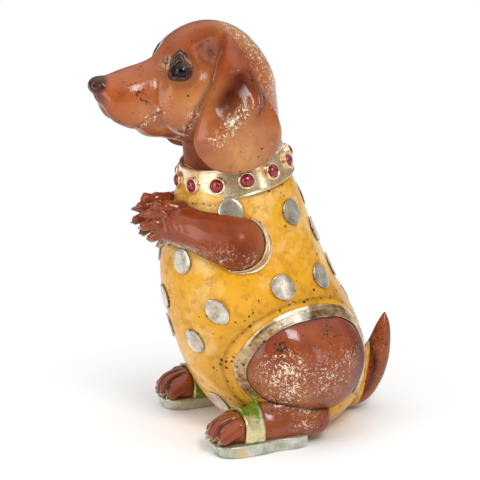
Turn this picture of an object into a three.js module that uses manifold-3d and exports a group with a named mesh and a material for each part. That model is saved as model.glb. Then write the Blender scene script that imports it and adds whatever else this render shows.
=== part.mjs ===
// A seated dog in a spotted bathing suit: a cast resin figurine, glued up from castings and trimmings.
// Millimetres, +Z up. The dog faces -Y and its left side is +X. The origin is on the ground, under the
// middle of the finished figurine; the sizes below are measured from a point near the axis of the collar.
import * as THREE from "three";
import { mergeVertices } from "three/addons/utils/BufferGeometryUtils.js";
import Module from "manifold-3d";

const wasm = await Module();
wasm.setup();

// Clearances and fineness
const GLUE_GAP = 0.3; // film of glue between two pieces
const AROUND = 28; // points round a casting
const WALK_STEPS = 48; // steps from a casting's core out to its skin
const WALK_SHARE = 0.8; // share of the remaining way that one step takes
const TINY = 1e-6;

// Collar, its cups and its stones
const COLLAR_Z = 142.8; // middle of the collar's lower edge
const COLLAR_Y = -1.5;
const COLLAR_HEIGHT = 16.5;
const COLLAR_RADIUS_LOW = 32.5;
const COLLAR_RADIUS_HIGH = 28.5;
const COLLAR_WALL = 2.4;
const COLLAR_TILT = 12; // degrees, higher at the nape
const COLLAR_SIDES = 48;
const STONE_COUNT = 12;
const STONE_TURN = 22; // degrees from the breastbone to the first stone
const STONE_RADIUS = 3.2;
const STONE_RISE = 2.8;
const CUP_RIM = 1.2; // metal round each stone
const CUP_RISE = 1.4;
const CUP_FLOOR = 1; // metal under each stone
const CUP_SINK = 0.6; // how far a cup's floor reaches into the band
const CUP_SIDES = 10;

const GROUND_Z = 1.5; // what is ground off under the castings, so that they stand flat

// Torso: height, middle, depth and width of the suit at each of its stations
const TORSO = {
  seat: { z: GROUND_Z, y: 23, depth: 19, width: 22 },
  rump: { z: 5, y: 24.6, depth: 29.3, width: 34 },
  hips: { z: 20, y: 25.4, depth: 44.5, width: 45 },
  belly: { z: 40, y: 21, depth: 51, width: 50.5 },
  ribs: { z: 62, y: 14.7, depth: 52.2, width: 50 },
  chest: { z: 88, y: 5, depth: 48.2, width: 46 },
  shoulders: { z: 114, y: 0.1, depth: 41.6, width: 39.5 },
  collar: { z: COLLAR_Z, y: COLLAR_Y, depth: COLLAR_RADIUS_LOW - 0.5, width: COLLAR_RADIUS_LOW - 1.5 },
  neck: {
    z: COLLAR_Z + COLLAR_HEIGHT,
    y: COLLAR_Y - 2,
    depth: COLLAR_RADIUS_HIGH - 3.5,
    width: COLLAR_RADIUS_HIGH - 3.5,
  },
};
const TORSO_ROWS = 3; // rows of points between two stations
const NECK_JOINT_RISE = 6; // glued joint of neck and torso, above the collar's lower edge

// Head, measured from the middle of the collar's lower edge
const NECK_SQUEEZE = 1.2; // how far the collar's top edge bites into the neck
const NECK_RADIUS = COLLAR_RADIUS_HIGH - COLLAR_WALL + NECK_SQUEEZE;
const NECK_TENON_RADIUS = 11;
const NECK_TENON_LENGTH = 12;
const HEAD_BLEND = 9;
const SKULL = { y: -16.9, z: 58, halfWidth: 26.5, halfLength: 32.4, halfHeight: 31.5 };
const BRIDGE = { y: -40, z: 59.3, radius: 13.2 };
const NOSE = { y: -78, z: 58.8, halfWidth: 6.5, halfLength: 6, halfHeight: 5 };
const FLEWS = { x: 6, y: -59.2, z: 49.2, halfWidth: 9, halfLength: 17.2, halfHeight: 14 };
const CHEEK = { x: 14, y: -29, z: 50, halfWidth: 12, halfLength: 20, halfHeight: 19 };
const JAW = { y: -27, z: 37.5, radius: 13, tipZ: 38.7, tipRadius: 10 };
const EYE = { turn: 38.3, lift: 18, radius: 5.4, sink: 3.3 }; // degrees from straight ahead, and depth
const HEAD_CORE = { y: -46, z: 18, neckReach: 46, muzzleReach: 36, bulge: 8 }; // bend of the casting's core

// Ears, measured like the head
const EAR_THICKNESS = 6;
const EAR_TOP = 84;
const EAR_BOTTOM = 12.5;
const EAR_FRONT = -34;
const EAR_BACK = 15.5;
const EAR_CORE_Y = -11;

// Forelegs
const SHOULDER = { y: -14.5, z: COLLAR_Z - 26, radius: 14.7, sink: 1.9 }; // depth of its middle in the suit
const WRIST = { x: 15, y: -36, z: COLLAR_Z - 20, radius: 11.4 };
const PAW = { x: 7.5, y: -44, z: COLLAR_Z - 19.3, halfWidth: 7.5, halfLength: 10, halfHeight: 10.5 };
const PAW_TOE = { radius: 4.2, tipRadius: 2.6 };
const PAW_TOES = [
  { rootY: -3, rootZ: 6, tipY: -13.5, tipZ: 7 }, // from the middle of the paw, the uppermost first
  { rootY: -4, rootZ: 0.5, tipY: -14, tipZ: 0.8 },
  { rootY: -2.5, rootZ: -4.5, tipY: -9.5, tipZ: -6 },
  { rootY: 1, rootZ: -8.5, tipY: -4, tipZ: -10 },
];
const DEWCLAW = { x: 8.5, y: 6, rise: 9.2, radius: 4.2, tipRadius: 3, length: 13 };
const ARM_TENON_RADIUS = 5;
const ARM_TENON_LENGTH = 9;

// Hind legs and sandals
const FOOT_X = 40.5;
const SOLE_TOP = 8.5;
const SOLE_X = FOOT_X + 1.5;
const SOLE_WIDTH = 23;
const SOLE_WAIST = 17.5;
const SOLE_FRONT = -32.5;
const SOLE_BACK = 23.5;
const SOLE_SIDES = 42;
const THIGH = { x: 31.7, y: 22.8, z: 48.5, halfWidth: 28.1, halfLength: 38, halfHeight: 30.1 };
const THIGH_SQUARENESS = 2.3; // 2 is an oval seen from the side, more is boxier
const THIGH_TILT = 20; // degrees that it drops towards the tail
const HIP_FACE = 13; // flat glue face of the leg, from the middle of the dog
const HOCK_Y = 28.5;
const HOCK_RADIUS = 9.5;
const HOCK_LIFT = 5.5; // under the hock
const CALF = { y: 12.5, inward: 3, halfWidth: 9.5, halfLength: 18, halfHeight: 8 };
const FOOT = { height: 15, setback: 13, halfWidth: 11.5, halfLength: 15, halfHeight: 8.5 };
const TOE = { radius: 4.6, tipRadius: 3.7, spacing: 5, tipSpacing: 6, length: 9 };
const STRAP_WIDTH = 12;
const STRAP_THICKNESS = 1.6;
const STRAP_Y = -10.5;

// Tail
const TAIL_Z = 15; // height of its root
const TAIL_ROOT_RADIUS = 10.5;
const TAIL_TIP_RADIUS = 0.8;
const TAIL_PATH = [
  { back: -6, rise: 0 }, // from the suit at the height of the root
  { back: 4.5, rise: -0.5 },
  { back: 11.5, rise: 6 },
  { back: 16.5, rise: 15 },
  { back: 19.7, rise: 23.5 },
  { back: 22, rise: 34 },
  { back: 22.8, rise: 41 },
];
const TAIL_TENON_RADIUS = 5;
const TAIL_TENON_LENGTH = 8;

// Gilt hems of the suit, measured over its surface, and the angles that they run between
const HEM_THICKNESS = 1.4;
const LEG_HEM_WIDTH = 6.5;
const LEG_HEM_FROM = -38;
const LEG_HEM_TO = 213;
const ARM_HEM_WIDTH = 3.5;
const ARM_HEM_FROM = -115;
const ARM_HEM_TO = 60;

// Silver spots: turn in degrees from the breastbone towards the dog's left, and height
const SPOT_RADIUS = 6.8;
const SPOT_THICKNESS = 0.8;
const SPOT_SIDES = 12;
const SPOTS = [
  [64, 134],
  [123, 130],
  [180, 132],
  [-123, 130],
  [-64, 134],
  [23, 105],
  [157, 115],
  [-155, 110],
  [-24, 103],
  [95, 93],
  [131, 93.5],
  [164, 93],
  [-128, 94],
  [-92, 95],
  [-5, 79.5],
  [47, 80],
  [180, 74],
  [-162, 88],
  [-48, 80],
  [22, 59.5],
  [-14, 60],
  [-40, 58],
  [180, 48],
  [19, 20.5],
];

const V = (x, y, z) => new THREE.Vector3(x, y, z);
const radians = THREE.MathUtils.degToRad;

// Fields: each is negative inside a form and about the distance to its skin outside it.

function ellipsoid(at, radii) {
  return (p) => {
    const q = p.clone().sub(at).divide(radii);
    const ratio = q.length();
    const steepness = q.divide(radii).length();
    return ratio < TINY ? -Math.min(radii.x, radii.y, radii.z) : (ratio * (ratio - 1)) / steepness;
  };
}

// An oval that is boxier in the side view and tilted in it.
function haunch(at, radii, { squareness, tilt }) {
  return (p) => {
    const arm = p.clone().sub(at);
    const level = arm.clone().applyAxisAngle(V(1, 0, 0), radians(tilt));
    const [x, y, z] = level.divide(radii).toArray().map(Math.abs);
    const ratio = Math.hypot(x, (y ** squareness + z ** squareness) ** (1 / squareness));
    return ratio < TINY ? -Math.min(radii.x, radii.y, radii.z) : arm.length() * (1 - 1 / ratio);
  };
}

function rod(a, radiusA, b, radiusB) {
  const line = b.clone().sub(a);
  return (p) => {
    const q = p.clone().sub(a);
    const share = THREE.MathUtils.clamp(q.dot(line) / line.lengthSq(), 0, 1);
    return q.addScaledVector(line, -share).length() - THREE.MathUtils.lerp(radiusA, radiusB, share);
  };
}

function softMin(a, b, width) {
  const closeness = Math.max(width - Math.abs(a - b), 0) / width;
  return Math.min(a, b) - (closeness ** 3 * width) / 6;
}

const merge =
  (width, ...fields) =>
  (p) =>
    fields.map((field) => field(p)).reduce((a, b) => softMin(a, b, width));

const bothSides = (field) => (p) => field(V(Math.abs(p.x), p.y, p.z));

// A cubic through the values of the stations, by height.
function stationCurve(stations, key) {
  const knots = Object.values(stations);
  return (z) => {
    let i = 0;
    while (i < knots.length - 2 && z > knots[i + 1].z) i++;
    const [a, b] = [knots[i], knots[i + 1]];
    const slope = (from, to) => (to[key] - from[key]) / (to.z - from.z);
    const span = b.z - a.z;
    const slopeA = i > 0 ? slope(knots[i - 1], b) : slope(a, b);
    const slopeB = i < knots.length - 2 ? slope(a, knots[i + 2]) : slope(a, b);
    const t = THREE.MathUtils.clamp((z - a.z) / span, 0, 1);
    return (
      a[key] * (1 + 2 * t) * (1 - t) ** 2 +
      b[key] * t * t * (3 - 2 * t) +
      span * (slopeA * t * (1 - t) ** 2 - slopeB * t * t * (1 - t))
    );
  };
}

// Meshes and solids

function geometryOf(points, triangles) {
  const corner = (i) => points[i];
  const volume = triangles.reduce(
    (sum, [a, b, c]) => sum + corner(a).dot(corner(b).clone().cross(corner(c))),
    0,
  );
  const facing = volume > 0 ? triangles : triangles.map(([a, b, c]) => [a, c, b]);
  return new THREE.BufferGeometry()
    .setAttribute("position", new THREE.Float32BufferAttribute(points.flatMap((p) => p.toArray()), 3))
    .setIndex(facing.flat());
}

// Closed skin over rows of points: each row goes once round, and a row of one point is a pole.
function skinOver(rows) {
  const middle = (row) => row.reduce((sum, p) => sum.add(p), V(0, 0, 0)).divideScalar(row.length);
  const capped = [...rows];
  if (rows[0].length > 1) capped.unshift([middle(rows[0])]);
  if (rows.at(-1).length > 1) capped.push([middle(rows.at(-1))]);
  const starts = [0];
  capped.forEach((row) => starts.push(starts.at(-1) + row.length));
  const triangles = [];
  for (let i = 0; i + 1 < capped.length; i++) {
    const [low, high] = [capped[i].length, capped[i + 1].length];
    for (let j = 0; j < Math.max(low, high); j++) {
      const corner = (row, k) => starts[row] + (k % capped[row].length);
      if (low > 1) triangles.push([corner(i, j), corner(i, j + 1), corner(i + 1, j)]);
      if (high > 1) triangles.push([corner(i, j + 1), corner(i + 1, j + 1), corner(i + 1, j)]);
    }
  }
  return geometryOf(capped.flat(), triangles);
}

// Closed plate between an upper and a lower sheet of points, both with the same rows and columns.
function plateBetween(upper, lower) {
  const [rows, columns] = [upper.length, upper[0].length];
  const at = (layer, i, j) => (layer * rows + i) * columns + j;
  const triangles = [];
  const quad = (a, b, c, d) => triangles.push([a, b, c], [a, c, d]);
  for (let i = 0; i + 1 < rows; i++) {
    for (let j = 0; j + 1 < columns; j++) {
      quad(at(0, i, j), at(0, i, j + 1), at(0, i + 1, j + 1), at(0, i + 1, j));
      quad(at(1, i, j), at(1, i + 1, j), at(1, i + 1, j + 1), at(1, i, j + 1));
    }
    quad(at(0, i, 0), at(0, i + 1, 0), at(1, i + 1, 0), at(1, i, 0));
    quad(at(0, i + 1, columns - 1), at(0, i, columns - 1), at(1, i, columns - 1), at(1, i + 1, columns - 1));
  }
  for (let j = 0; j + 1 < columns; j++) {
    quad(at(0, 0, j + 1), at(0, 0, j), at(1, 0, j), at(1, 0, j + 1));
    quad(at(0, rows - 1, j), at(0, rows - 1, j + 1), at(1, rows - 1, j + 1), at(1, rows - 1, j));
  }
  return geometryOf([...upper.flat(), ...lower.flat()], triangles);
}

function solidOf(geometry) {
  const bare = geometry.clone();
  bare.deleteAttribute("normal");
  bare.deleteAttribute("uv");
  const merged = mergeVertices(bare);
  return new wasm.Manifold(
    new wasm.Mesh({
      numProp: 3,
      vertProperties: new Float32Array(merged.attributes.position.array),
      triVerts: new Uint32Array(merged.index.array),
    }),
  );
}

function geometryFrom(solid) {
  const mesh = solid.getMesh();
  return new THREE.BufferGeometry()
    .setAttribute("position", new THREE.BufferAttribute(mesh.vertProperties, 3))
    .setIndex(new THREE.BufferAttribute(mesh.triVerts, 1));
}

function cut(geometry, ...tools) {
  return geometryFrom(tools.reduce((solid, tool) => solid.subtract(solidOf(tool)), solidOf(geometry)));
}

function join(geometry, ...others) {
  return geometryFrom(others.reduce((solid, other) => solid.add(solidOf(other)), solidOf(geometry)));
}

// Solid of revolution about Z, from a profile of [radius, height] pairs.
function turned(profile, sides) {
  const points = profile.map(([radius, height]) => new THREE.Vector2(radius, height));
  return new THREE.LatheGeometry(points, sides).rotateX(Math.PI / 2);
}

// Round peg from one point to another.
function peg(from, to, radius) {
  const along = to.clone().sub(from);
  return new THREE.CylinderGeometry(radius, radius, along.length(), CUP_SIDES)
    .applyQuaternion(new THREE.Quaternion().setFromUnitVectors(V(0, 1, 0), along.clone().normalize()))
    .translate(...from.clone().add(to).divideScalar(2).toArray());
}

function block(low, high) {
  const size = high.clone().sub(low);
  const middle = low.clone().add(high).divideScalar(2);
  return new THREE.BoxGeometry(...size.toArray()).translate(...middle.toArray());
}

// Casting a field: rings of rays leave a core line, and each ray is walked out to the skin.

function walkOut(field, from, along, level) {
  const p = from.clone();
  for (let i = 0; i < WALK_STEPS; i++) p.addScaledVector(along, WALK_SHARE * (level - field(p)));
  return p;
}

// A ring's rays leave one point; lean tips them from square to the core (0) to along it (90 degrees).
function rayRow(field, ring, level, around) {
  const side = ring.up.clone().cross(ring.forward);
  const pole = Math.abs(ring.lean) > Math.PI / 2 - TINY;
  return Array.from({ length: pole ? 1 : around }, (_, j) => {
    const angle = (2 * Math.PI * j) / around;
    const along = V(0, 0, 0)
      .addScaledVector(side, Math.sin(angle) * Math.cos(ring.lean))
      .addScaledVector(ring.up, Math.cos(angle) * Math.cos(ring.lean))
      .addScaledVector(ring.forward, Math.sin(ring.lean));
    return walkOut(field, ring.from, along, level);
  });
}

const cast = (field, rings, level = 0, around = AROUND) =>
  skinOver(rings.map((ring) => rayRow(field, ring, level, around)));

// Rings along a straight core, with a round end at each end that is asked for.
function coreRings(start, end, up, { rows, roundStart = 0, roundEnd = 0 }) {
  const forward = end.clone().sub(start).normalize();
  const square = up.clone().addScaledVector(forward, -up.dot(forward)).normalize();
  const ring = (from, lean) => ({ from, forward, up: square, lean });
  const quarter = Math.PI / 2;
  return [
    ...Array.from({ length: roundStart }, (_, i) => ring(start, -quarter * (1 - i / roundStart))),
    ...Array.from({ length: rows + 1 }, (_, i) => ring(start.clone().lerp(end, i / rows), 0)),
    ...Array.from({ length: roundEnd }, (_, i) => ring(end, (quarter * (i + 1)) / roundEnd)),
  ];
}

// Torso: a pear-shaped stack of ovals.

const torsoY = stationCurve(TORSO, "y");
const torsoDepth = stationCurve(TORSO, "depth");
const torsoWidth = stationCurve(TORSO, "width");

// Point of the suit at a height and a turn from the breastbone, in radians.
function suitPoint(z, turn, level = 0) {
  const across = Math.sin(turn) * (torsoWidth(z) + level);
  return V(across, torsoY(z) - Math.cos(turn) * (torsoDepth(z) + level), z);
}

// The same surface seen from the dog's left: how far out it lies at a place of the side view.
function suitSide(y, z, level) {
  const share = (y - torsoY(z)) / (torsoDepth(z) + level);
  return (torsoWidth(z) + level) * Math.sqrt(Math.max(1 - share * share, 0));
}

function torsoSkin(level) {
  const knots = Object.values(TORSO).map((station) => station.z);
  const heights = knots.slice(1).flatMap((z, i) =>
    Array.from({ length: TORSO_ROWS }, (_, k) => THREE.MathUtils.lerp(knots[i], z, k / TORSO_ROWS)),
  );
  const turns = Array.from({ length: AROUND }, (_, j) => (2 * Math.PI * j) / AROUND);
  return skinOver([...heights, knots.at(-1)].map((z) => turns.map((turn) => suitPoint(z, turn, level))));
}

// Hind leg, left side: a thigh, and a foot with its shank along the ground.

const halves = (form) => V(form.halfWidth, form.halfLength, form.halfHeight);
const mass = (at, form) => ellipsoid(at, halves(form));

const thighField = haunch(V(THIGH.x, THIGH.y, THIGH.z), halves(THIGH), {
  squareness: THIGH_SQUARENESS,
  tilt: THIGH_TILT,
});
const hock = V(FOOT_X, HOCK_Y, HOCK_RADIUS + HOCK_LIFT);
const toeRoots = V(FOOT_X, SOLE_FRONT + FOOT.setback - 2, SOLE_TOP + FOOT.height - FOOT.halfHeight);

function hindFootField() {
  const instep = V(FOOT_X, STRAP_Y, SOLE_TOP + 4);
  const shank = rod(hock, HOCK_RADIUS, instep, HOCK_RADIUS);
  const calf = mass(V(FOOT_X - CALF.inward, CALF.y, HOCK_LIFT + 2 * HOCK_RADIUS - 1.5), CALF);
  const foot = mass(V(FOOT_X, SOLE_FRONT + FOOT.setback, toeRoots.z), FOOT);
  const toes = [-1.5, -0.5, 0.5, 1.5].map((place) => {
    const root = V(FOOT_X + place * TOE.spacing, toeRoots.y, toeRoots.z + 1.5);
    const reach = TOE.length - place * place;
    const tip = V(FOOT_X + place * TOE.tipSpacing, toeRoots.y - reach, SOLE_TOP + TOE.tipRadius);
    return rod(root, TOE.radius, tip, TOE.tipRadius);
  });
  return merge(4, merge(8, shank, calf, foot), merge(1.5, ...toes));
}

const footField = hindFootField();

function legSkin(level) {
  const hip = V(HIP_FACE - level, THIGH.y, THIGH.z);
  const thighRings = coreRings(hip, V(THIGH.x, THIGH.y, THIGH.z), V(0, 0, 1), { rows: 2, roundEnd: 7 });
  const footRings = coreRings(hock, toeRoots, V(0, 0, 1), { rows: 7, roundStart: 4, roundEnd: 6 });
  return join(cast(thighField, thighRings, level, 24), cast(footField, footRings, level, 24));
}

// Foreleg, left side: arm and paw, the toes one above another and the dewclaw on top.

const shoulder = V(suitSide(SHOULDER.y, SHOULDER.z, 0) - SHOULDER.sink, SHOULDER.y, SHOULDER.z);
const palm = V(PAW.x, PAW.y, PAW.z);

function forelegField() {
  const arm = rod(shoulder, SHOULDER.radius, V(WRIST.x, WRIST.y, WRIST.z), WRIST.radius);
  const toes = PAW_TOES.map(({ rootY, rootZ, tipY, tipZ }) => {
    const root = V(PAW.x - 0.5, palm.y + rootY, palm.z + rootZ);
    return rod(root, PAW_TOE.radius, V(PAW.x - 1, palm.y + tipY, palm.z + tipZ), PAW_TOE.tipRadius);
  });
  const knuckle = V(DEWCLAW.x, palm.y + DEWCLAW.y, palm.z + DEWCLAW.rise);
  const claw = V(DEWCLAW.x - 0.5, knuckle.y - DEWCLAW.length, knuckle.z + 2);
  const dewclaw = rod(knuckle, DEWCLAW.radius, claw, DEWCLAW.tipRadius);
  return merge(4, merge(8, arm, mass(palm, PAW)), merge(1.5, ...toes, dewclaw));
}

const armField = forelegField();

function armSkin(level) {
  const rings = coreRings(shoulder, palm, V(0, 0, 1), { rows: 9, roundStart: 5, roundEnd: 8 });
  return cast(armField, rings, level);
}

function armTenon(level) {
  const surface = suitSide(SHOULDER.y, SHOULDER.z, 0);
  const root = V(surface - ARM_TENON_LENGTH - level, SHOULDER.y, SHOULDER.z);
  return peg(root, V(surface + 2, SHOULDER.y, SHOULDER.z), ARM_TENON_RADIUS + level);
}

// Tail, swept back along the ground and up to a point.

const suitBack = torsoY(TAIL_Z) + torsoDepth(TAIL_Z);
const tailCurve = new THREE.CatmullRomCurve3(
  TAIL_PATH.map(({ back, rise }) => V(0, suitBack + back, TAIL_Z + rise)),
);

function tailSkin() {
  const rows = 12;
  const sides = 14;
  const side = V(1, 0, 0);
  const row = (share) => {
    const at = tailCurve.getPoint(share);
    const up = tailCurve.getTangent(share).cross(side);
    const radius = THREE.MathUtils.lerp(TAIL_ROOT_RADIUS, TAIL_TIP_RADIUS, share ** 2.2);
    return Array.from({ length: sides }, (_, j) => {
      const angle = (2 * Math.PI * j) / sides;
      const spoke = side.clone().multiplyScalar(Math.sin(angle)).addScaledVector(up, Math.cos(angle));
      return at.clone().addScaledVector(spoke, radius);
    });
  };
  return skinOver(Array.from({ length: rows + 1 }, (_, i) => row(i / rows)));
}

function tailTenon(level) {
  const root = V(0, suitBack - TAIL_TENON_LENGTH - level, TAIL_Z);
  return peg(root, V(0, suitBack + 2, TAIL_Z), TAIL_TENON_RADIUS + level);
}

// Head and neck, in a frame whose origin is the middle of the collar's lower edge.

function headField() {
  const at = (form) => V(form.x ?? 0, form.y, form.z);
  const neck = rod(V(0, 0, -10), NECK_RADIUS, V(0, -5, SKULL.z - 8), NECK_RADIUS - 1);
  const bridge = rod(at(BRIDGE), BRIDGE.radius, V(0, NOSE.y + 5, NOSE.z - 3), 8);
  const jaw = rod(at(JAW), JAW.radius, V(0, FLEWS.y + 10, JAW.tipZ), JAW.tipRadius);
  const flews = bothSides(mass(at(FLEWS), FLEWS));
  const cheeks = bothSides(mass(at(CHEEK), CHEEK));
  const face = merge(HEAD_BLEND, mass(at(SKULL), SKULL), neck, bridge, flews, jaw, cheeks);
  return merge(2.5, face, mass(at(NOSE), NOSE));
}

const headForm = headField();

// The core bends forward from the neck into the muzzle, about a point before the throat.
function headRings() {
  const { neckReach, muzzleReach, bulge } = HEAD_CORE;
  const pivot = V(0, HEAD_CORE.y, HEAD_CORE.z);
  const neck = [-8, 2, 12].map((z) => ({ from: V(0, 0, z), forward: V(0, 0, 1), up: V(0, 1, 0), lean: 0 }));
  const bendRows = 14;
  const bend = Array.from({ length: bendRows + 1 }, (_, i) => {
    const angle = (Math.PI / 2) * (i / bendRows);
    const up = V(0, Math.cos(angle), Math.sin(angle));
    const reach = THREE.MathUtils.lerp(neckReach, muzzleReach, i / bendRows) + bulge * Math.sin(2 * angle);
    return { from: pivot.clone().addScaledVector(up, reach), forward: V(1, 0, 0).cross(up), up, lean: 0 };
  });
  const muzzleStart = V(0, pivot.y - 4, pivot.z + muzzleReach);
  const muzzleEnd = V(0, NOSE.y + 11, pivot.z + muzzleReach);
  return [...neck, ...bend, ...coreRings(muzzleStart, muzzleEnd, V(0, 0, 1), { rows: 4, roundEnd: 8 })];
}

const headSkin = (level) => cast(headForm, headRings(), level);

// Ear, left side: a pillow over an outline on the side of the head, thick in the middle.

const earOutline = new THREE.CatmullRomCurve3(
  [
    V(0, -10, EAR_TOP),
    V(0, -16.5, EAR_TOP - 13),
    V(0, -23.6, EAR_TOP - 26),
    V(0, -29.8, EAR_TOP - 38),
    V(0, EAR_FRONT + 0.4, EAR_BOTTOM + 22.5),
    V(0, EAR_FRONT, EAR_BOTTOM + 15.5),
    V(0, EAR_FRONT + 2.5, EAR_BOTTOM + 9),
    V(0, EAR_FRONT + 8.5, EAR_BOTTOM + 3),
    V(0, -15.8, EAR_BOTTOM),
    V(0, -5, EAR_BOTTOM + 0.7),
    V(0, EAR_BACK - 9.5, EAR_BOTTOM + 5),
    V(0, EAR_BACK - 2, EAR_BOTTOM + 11),
    V(0, EAR_BACK, EAR_BOTTOM + 20),
    V(0, EAR_BACK - 4, EAR_BOTTOM + 32),
    V(0, 3, EAR_TOP - 27),
    V(0, -4, EAR_TOP - 10),
  ],
  true,
);

const earBed = stationCurve(
  {
    foot: { z: EAR_BOTTOM, x: SKULL.halfWidth + 7 },
    low: { z: EAR_BOTTOM + 15, x: SKULL.halfWidth + 4.5 },
    middle: { z: EAR_TOP - 40, x: SKULL.halfWidth + 2.5 },
    high: { z: EAR_TOP - 16, x: SKULL.halfWidth - 2 },
    root: { z: EAR_TOP, x: SKULL.halfWidth - 12 },
  },
  "x",
);

function earSkin() {
  const core = V(0, EAR_CORE_Y, EAR_TOP - 42);
  const sides = 26;
  const rows = 4;
  const bed = (p) => earBed(p.z) * Math.sqrt(Math.max(1 - ((p.y + 8) / 50) ** 2, 0.05));
  const row = (share, depth) =>
    Array.from({ length: share > 0 ? sides : 1 }, (_, j) => {
      const p = core.clone().lerp(earOutline.getPoint(j / sides), share);
      return V(bed(p) + depth * EAR_THICKNESS * Math.sqrt(1 - share ** 2.5), p.y, p.z);
    });
  const shares = Array.from({ length: rows }, (_, i) => Math.sin((Math.PI / 2) * (i / rows)));
  const outer = shares.map((share) => row(share, 1));
  const inner = shares.map((share) => row(share, -0.3)).toReversed();
  return skinOver([...outer, row(1, 0), ...inner]);
}

// Eye, left side: a glass ball set into its socket.

function eyeBall(level = 0) {
  const outlook = V(0, -1, 0)
    .applyAxisAngle(V(-1, 0, 0), radians(EYE.lift))
    .applyAxisAngle(V(0, 0, 1), radians(EYE.turn));
  const at = walkOut(headForm, V(0, SKULL.y, SKULL.z), outlook, -EYE.sink);
  return mergeVertices(new THREE.SphereGeometry(EYE.radius + level, 12, 8).translate(...at.toArray()));
}

// Collar, standing on the middle of its lower edge: a conical band that carries the cups.

const collarSlope = (COLLAR_RADIUS_LOW - COLLAR_RADIUS_HIGH) / COLLAR_HEIGHT;

function collarBand(level = 0, outward = level) {
  const inner = COLLAR_WALL + level;
  const [bottom, top] = [-level, COLLAR_HEIGHT + level];
  return turned(
    [
      [COLLAR_RADIUS_LOW - inner, bottom],
      [COLLAR_RADIUS_LOW + outward, bottom],
      [COLLAR_RADIUS_HIGH + outward, top],
      [COLLAR_RADIUS_HIGH - inner, top],
      [COLLAR_RADIUS_LOW - inner, bottom],
    ],
    COLLAR_SIDES,
  );
}

// Stands a turned piece on the band, its axis square to the band's face.
function onCollar(geometry, index, sink) {
  const height = COLLAR_HEIGHT / 2;
  const radius = COLLAR_RADIUS_LOW - collarSlope * height;
  return geometry
    .translate(0, 0, -sink)
    .rotateX(Math.PI / 2 - Math.atan(collarSlope))
    .translate(0, -radius, height)
    .rotateZ(radians(STONE_TURN) + (2 * Math.PI * index) / STONE_COUNT);
}

function cup(index) {
  const bore = STONE_RADIUS + GLUE_GAP;
  const outer = bore + CUP_RIM;
  const top = CUP_FLOOR + CUP_RISE;
  const profile = [
    [0, 0],
    [outer, 0],
    [outer, CUP_FLOOR + CUP_RISE * 0.6],
    [outer - CUP_RIM * 0.4, top],
    [bore, top],
    [bore, CUP_FLOOR],
    [0, CUP_FLOOR],
  ];
  return onCollar(turned(profile, CUP_SIDES), index, CUP_SINK);
}

function stone(index) {
  const profile = [
    [0, 0],
    [STONE_RADIUS, 0],
    [STONE_RADIUS, STONE_RISE * 0.4],
    [STONE_RADIUS * 0.8, STONE_RISE * 0.78],
    [0, STONE_RISE],
  ];
  return onCollar(turned(profile, CUP_SIDES), index, CUP_SINK - CUP_FLOOR - GLUE_GAP);
}

// Sandal sole: a slab with a waist.

function sole(level = 0) {
  const [half, waist] = [SOLE_WIDTH / 2, SOLE_WAIST / 2];
  const outer = [
    [half * 0.68, SOLE_FRONT + 1.8],
    [half, SOLE_FRONT + 11],
    [half * 0.94, SOLE_FRONT + 26],
    [waist, SOLE_BACK - 20],
    [waist * 1.04, SOLE_BACK - 10],
    [waist * 0.75, SOLE_BACK - 2.5],
  ];
  const across = [...outer, [0, SOLE_BACK], ...outer.map(([x, y]) => [-x, y]).toReversed(), [0, SOLE_FRONT]];
  const grown = across.map(([x, y]) => {
    const out = V(x, y - THREE.MathUtils.clamp(y, SOLE_FRONT + half, SOLE_BACK - waist), 0).setLength(level);
    return V(x, y, 0).add(out);
  });
  const outline = new THREE.CatmullRomCurve3(grown, true).getPoints(SOLE_SIDES).slice(0, -1);
  const shape = new THREE.Shape(outline.map((p) => new THREE.Vector2(p.x, p.y)));
  const slab = { depth: SOLE_TOP + level - GROUND_Z, bevelEnabled: false };
  const geometry = new THREE.ExtrudeGeometry(shape, slab).translate(SOLE_X, 0, GROUND_Z);
  geometry.deleteAttribute("normal");
  geometry.deleteAttribute("uv");
  return mergeVertices(geometry);
}

// Sandal strap: a band over the foot, from one edge of the sole to the other.

function strap() {
  const steps = 16;
  const columns = 4;
  const sheet = (level) =>
    Array.from({ length: steps + 1 }, (_, i) => {
      const angle = Math.PI * (i / steps);
      const along = V(Math.cos(angle), 0, Math.sin(angle));
      return Array.from({ length: columns }, (_, j) => {
        const y = STRAP_Y + STRAP_WIDTH * (j / (columns - 1) - 0.5);
        return walkOut(footField, V(FOOT_X, y, SOLE_TOP + GLUE_GAP), along, level);
      });
    });
  return plateBetween(sheet(GLUE_GAP + STRAP_THICKNESS), sheet(GLUE_GAP));
}

// Hem: a band that lies on the suit, round the place where a limb comes out of it.
function hem(limb, centre, { from, to, width, steps }) {
  const columns = 3;
  const sheet = (level) =>
    Array.from({ length: steps + 1 }, (_, i) => {
      const angle = radians(THREE.MathUtils.lerp(from, to, i / steps));
      const suitAt = (reach) => {
        const y = centre.y + reach * Math.cos(angle);
        const z = centre.z + reach * Math.sin(angle);
        return V(suitSide(y, z, level), y, z);
      };
      let edge = 0;
      for (let k = 0; k < 2 * WALK_STEPS; k++) edge += WALK_SHARE * (GLUE_GAP - limb(suitAt(edge)));
      const reach = width / suitAt(edge + 1).distanceTo(suitAt(edge));
      return Array.from({ length: columns }, (_, j) => suitAt(edge + (reach * j) / (columns - 1)));
    });
  return plateBetween(sheet(GLUE_GAP + HEM_THICKNESS), sheet(GLUE_GAP));
}

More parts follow.
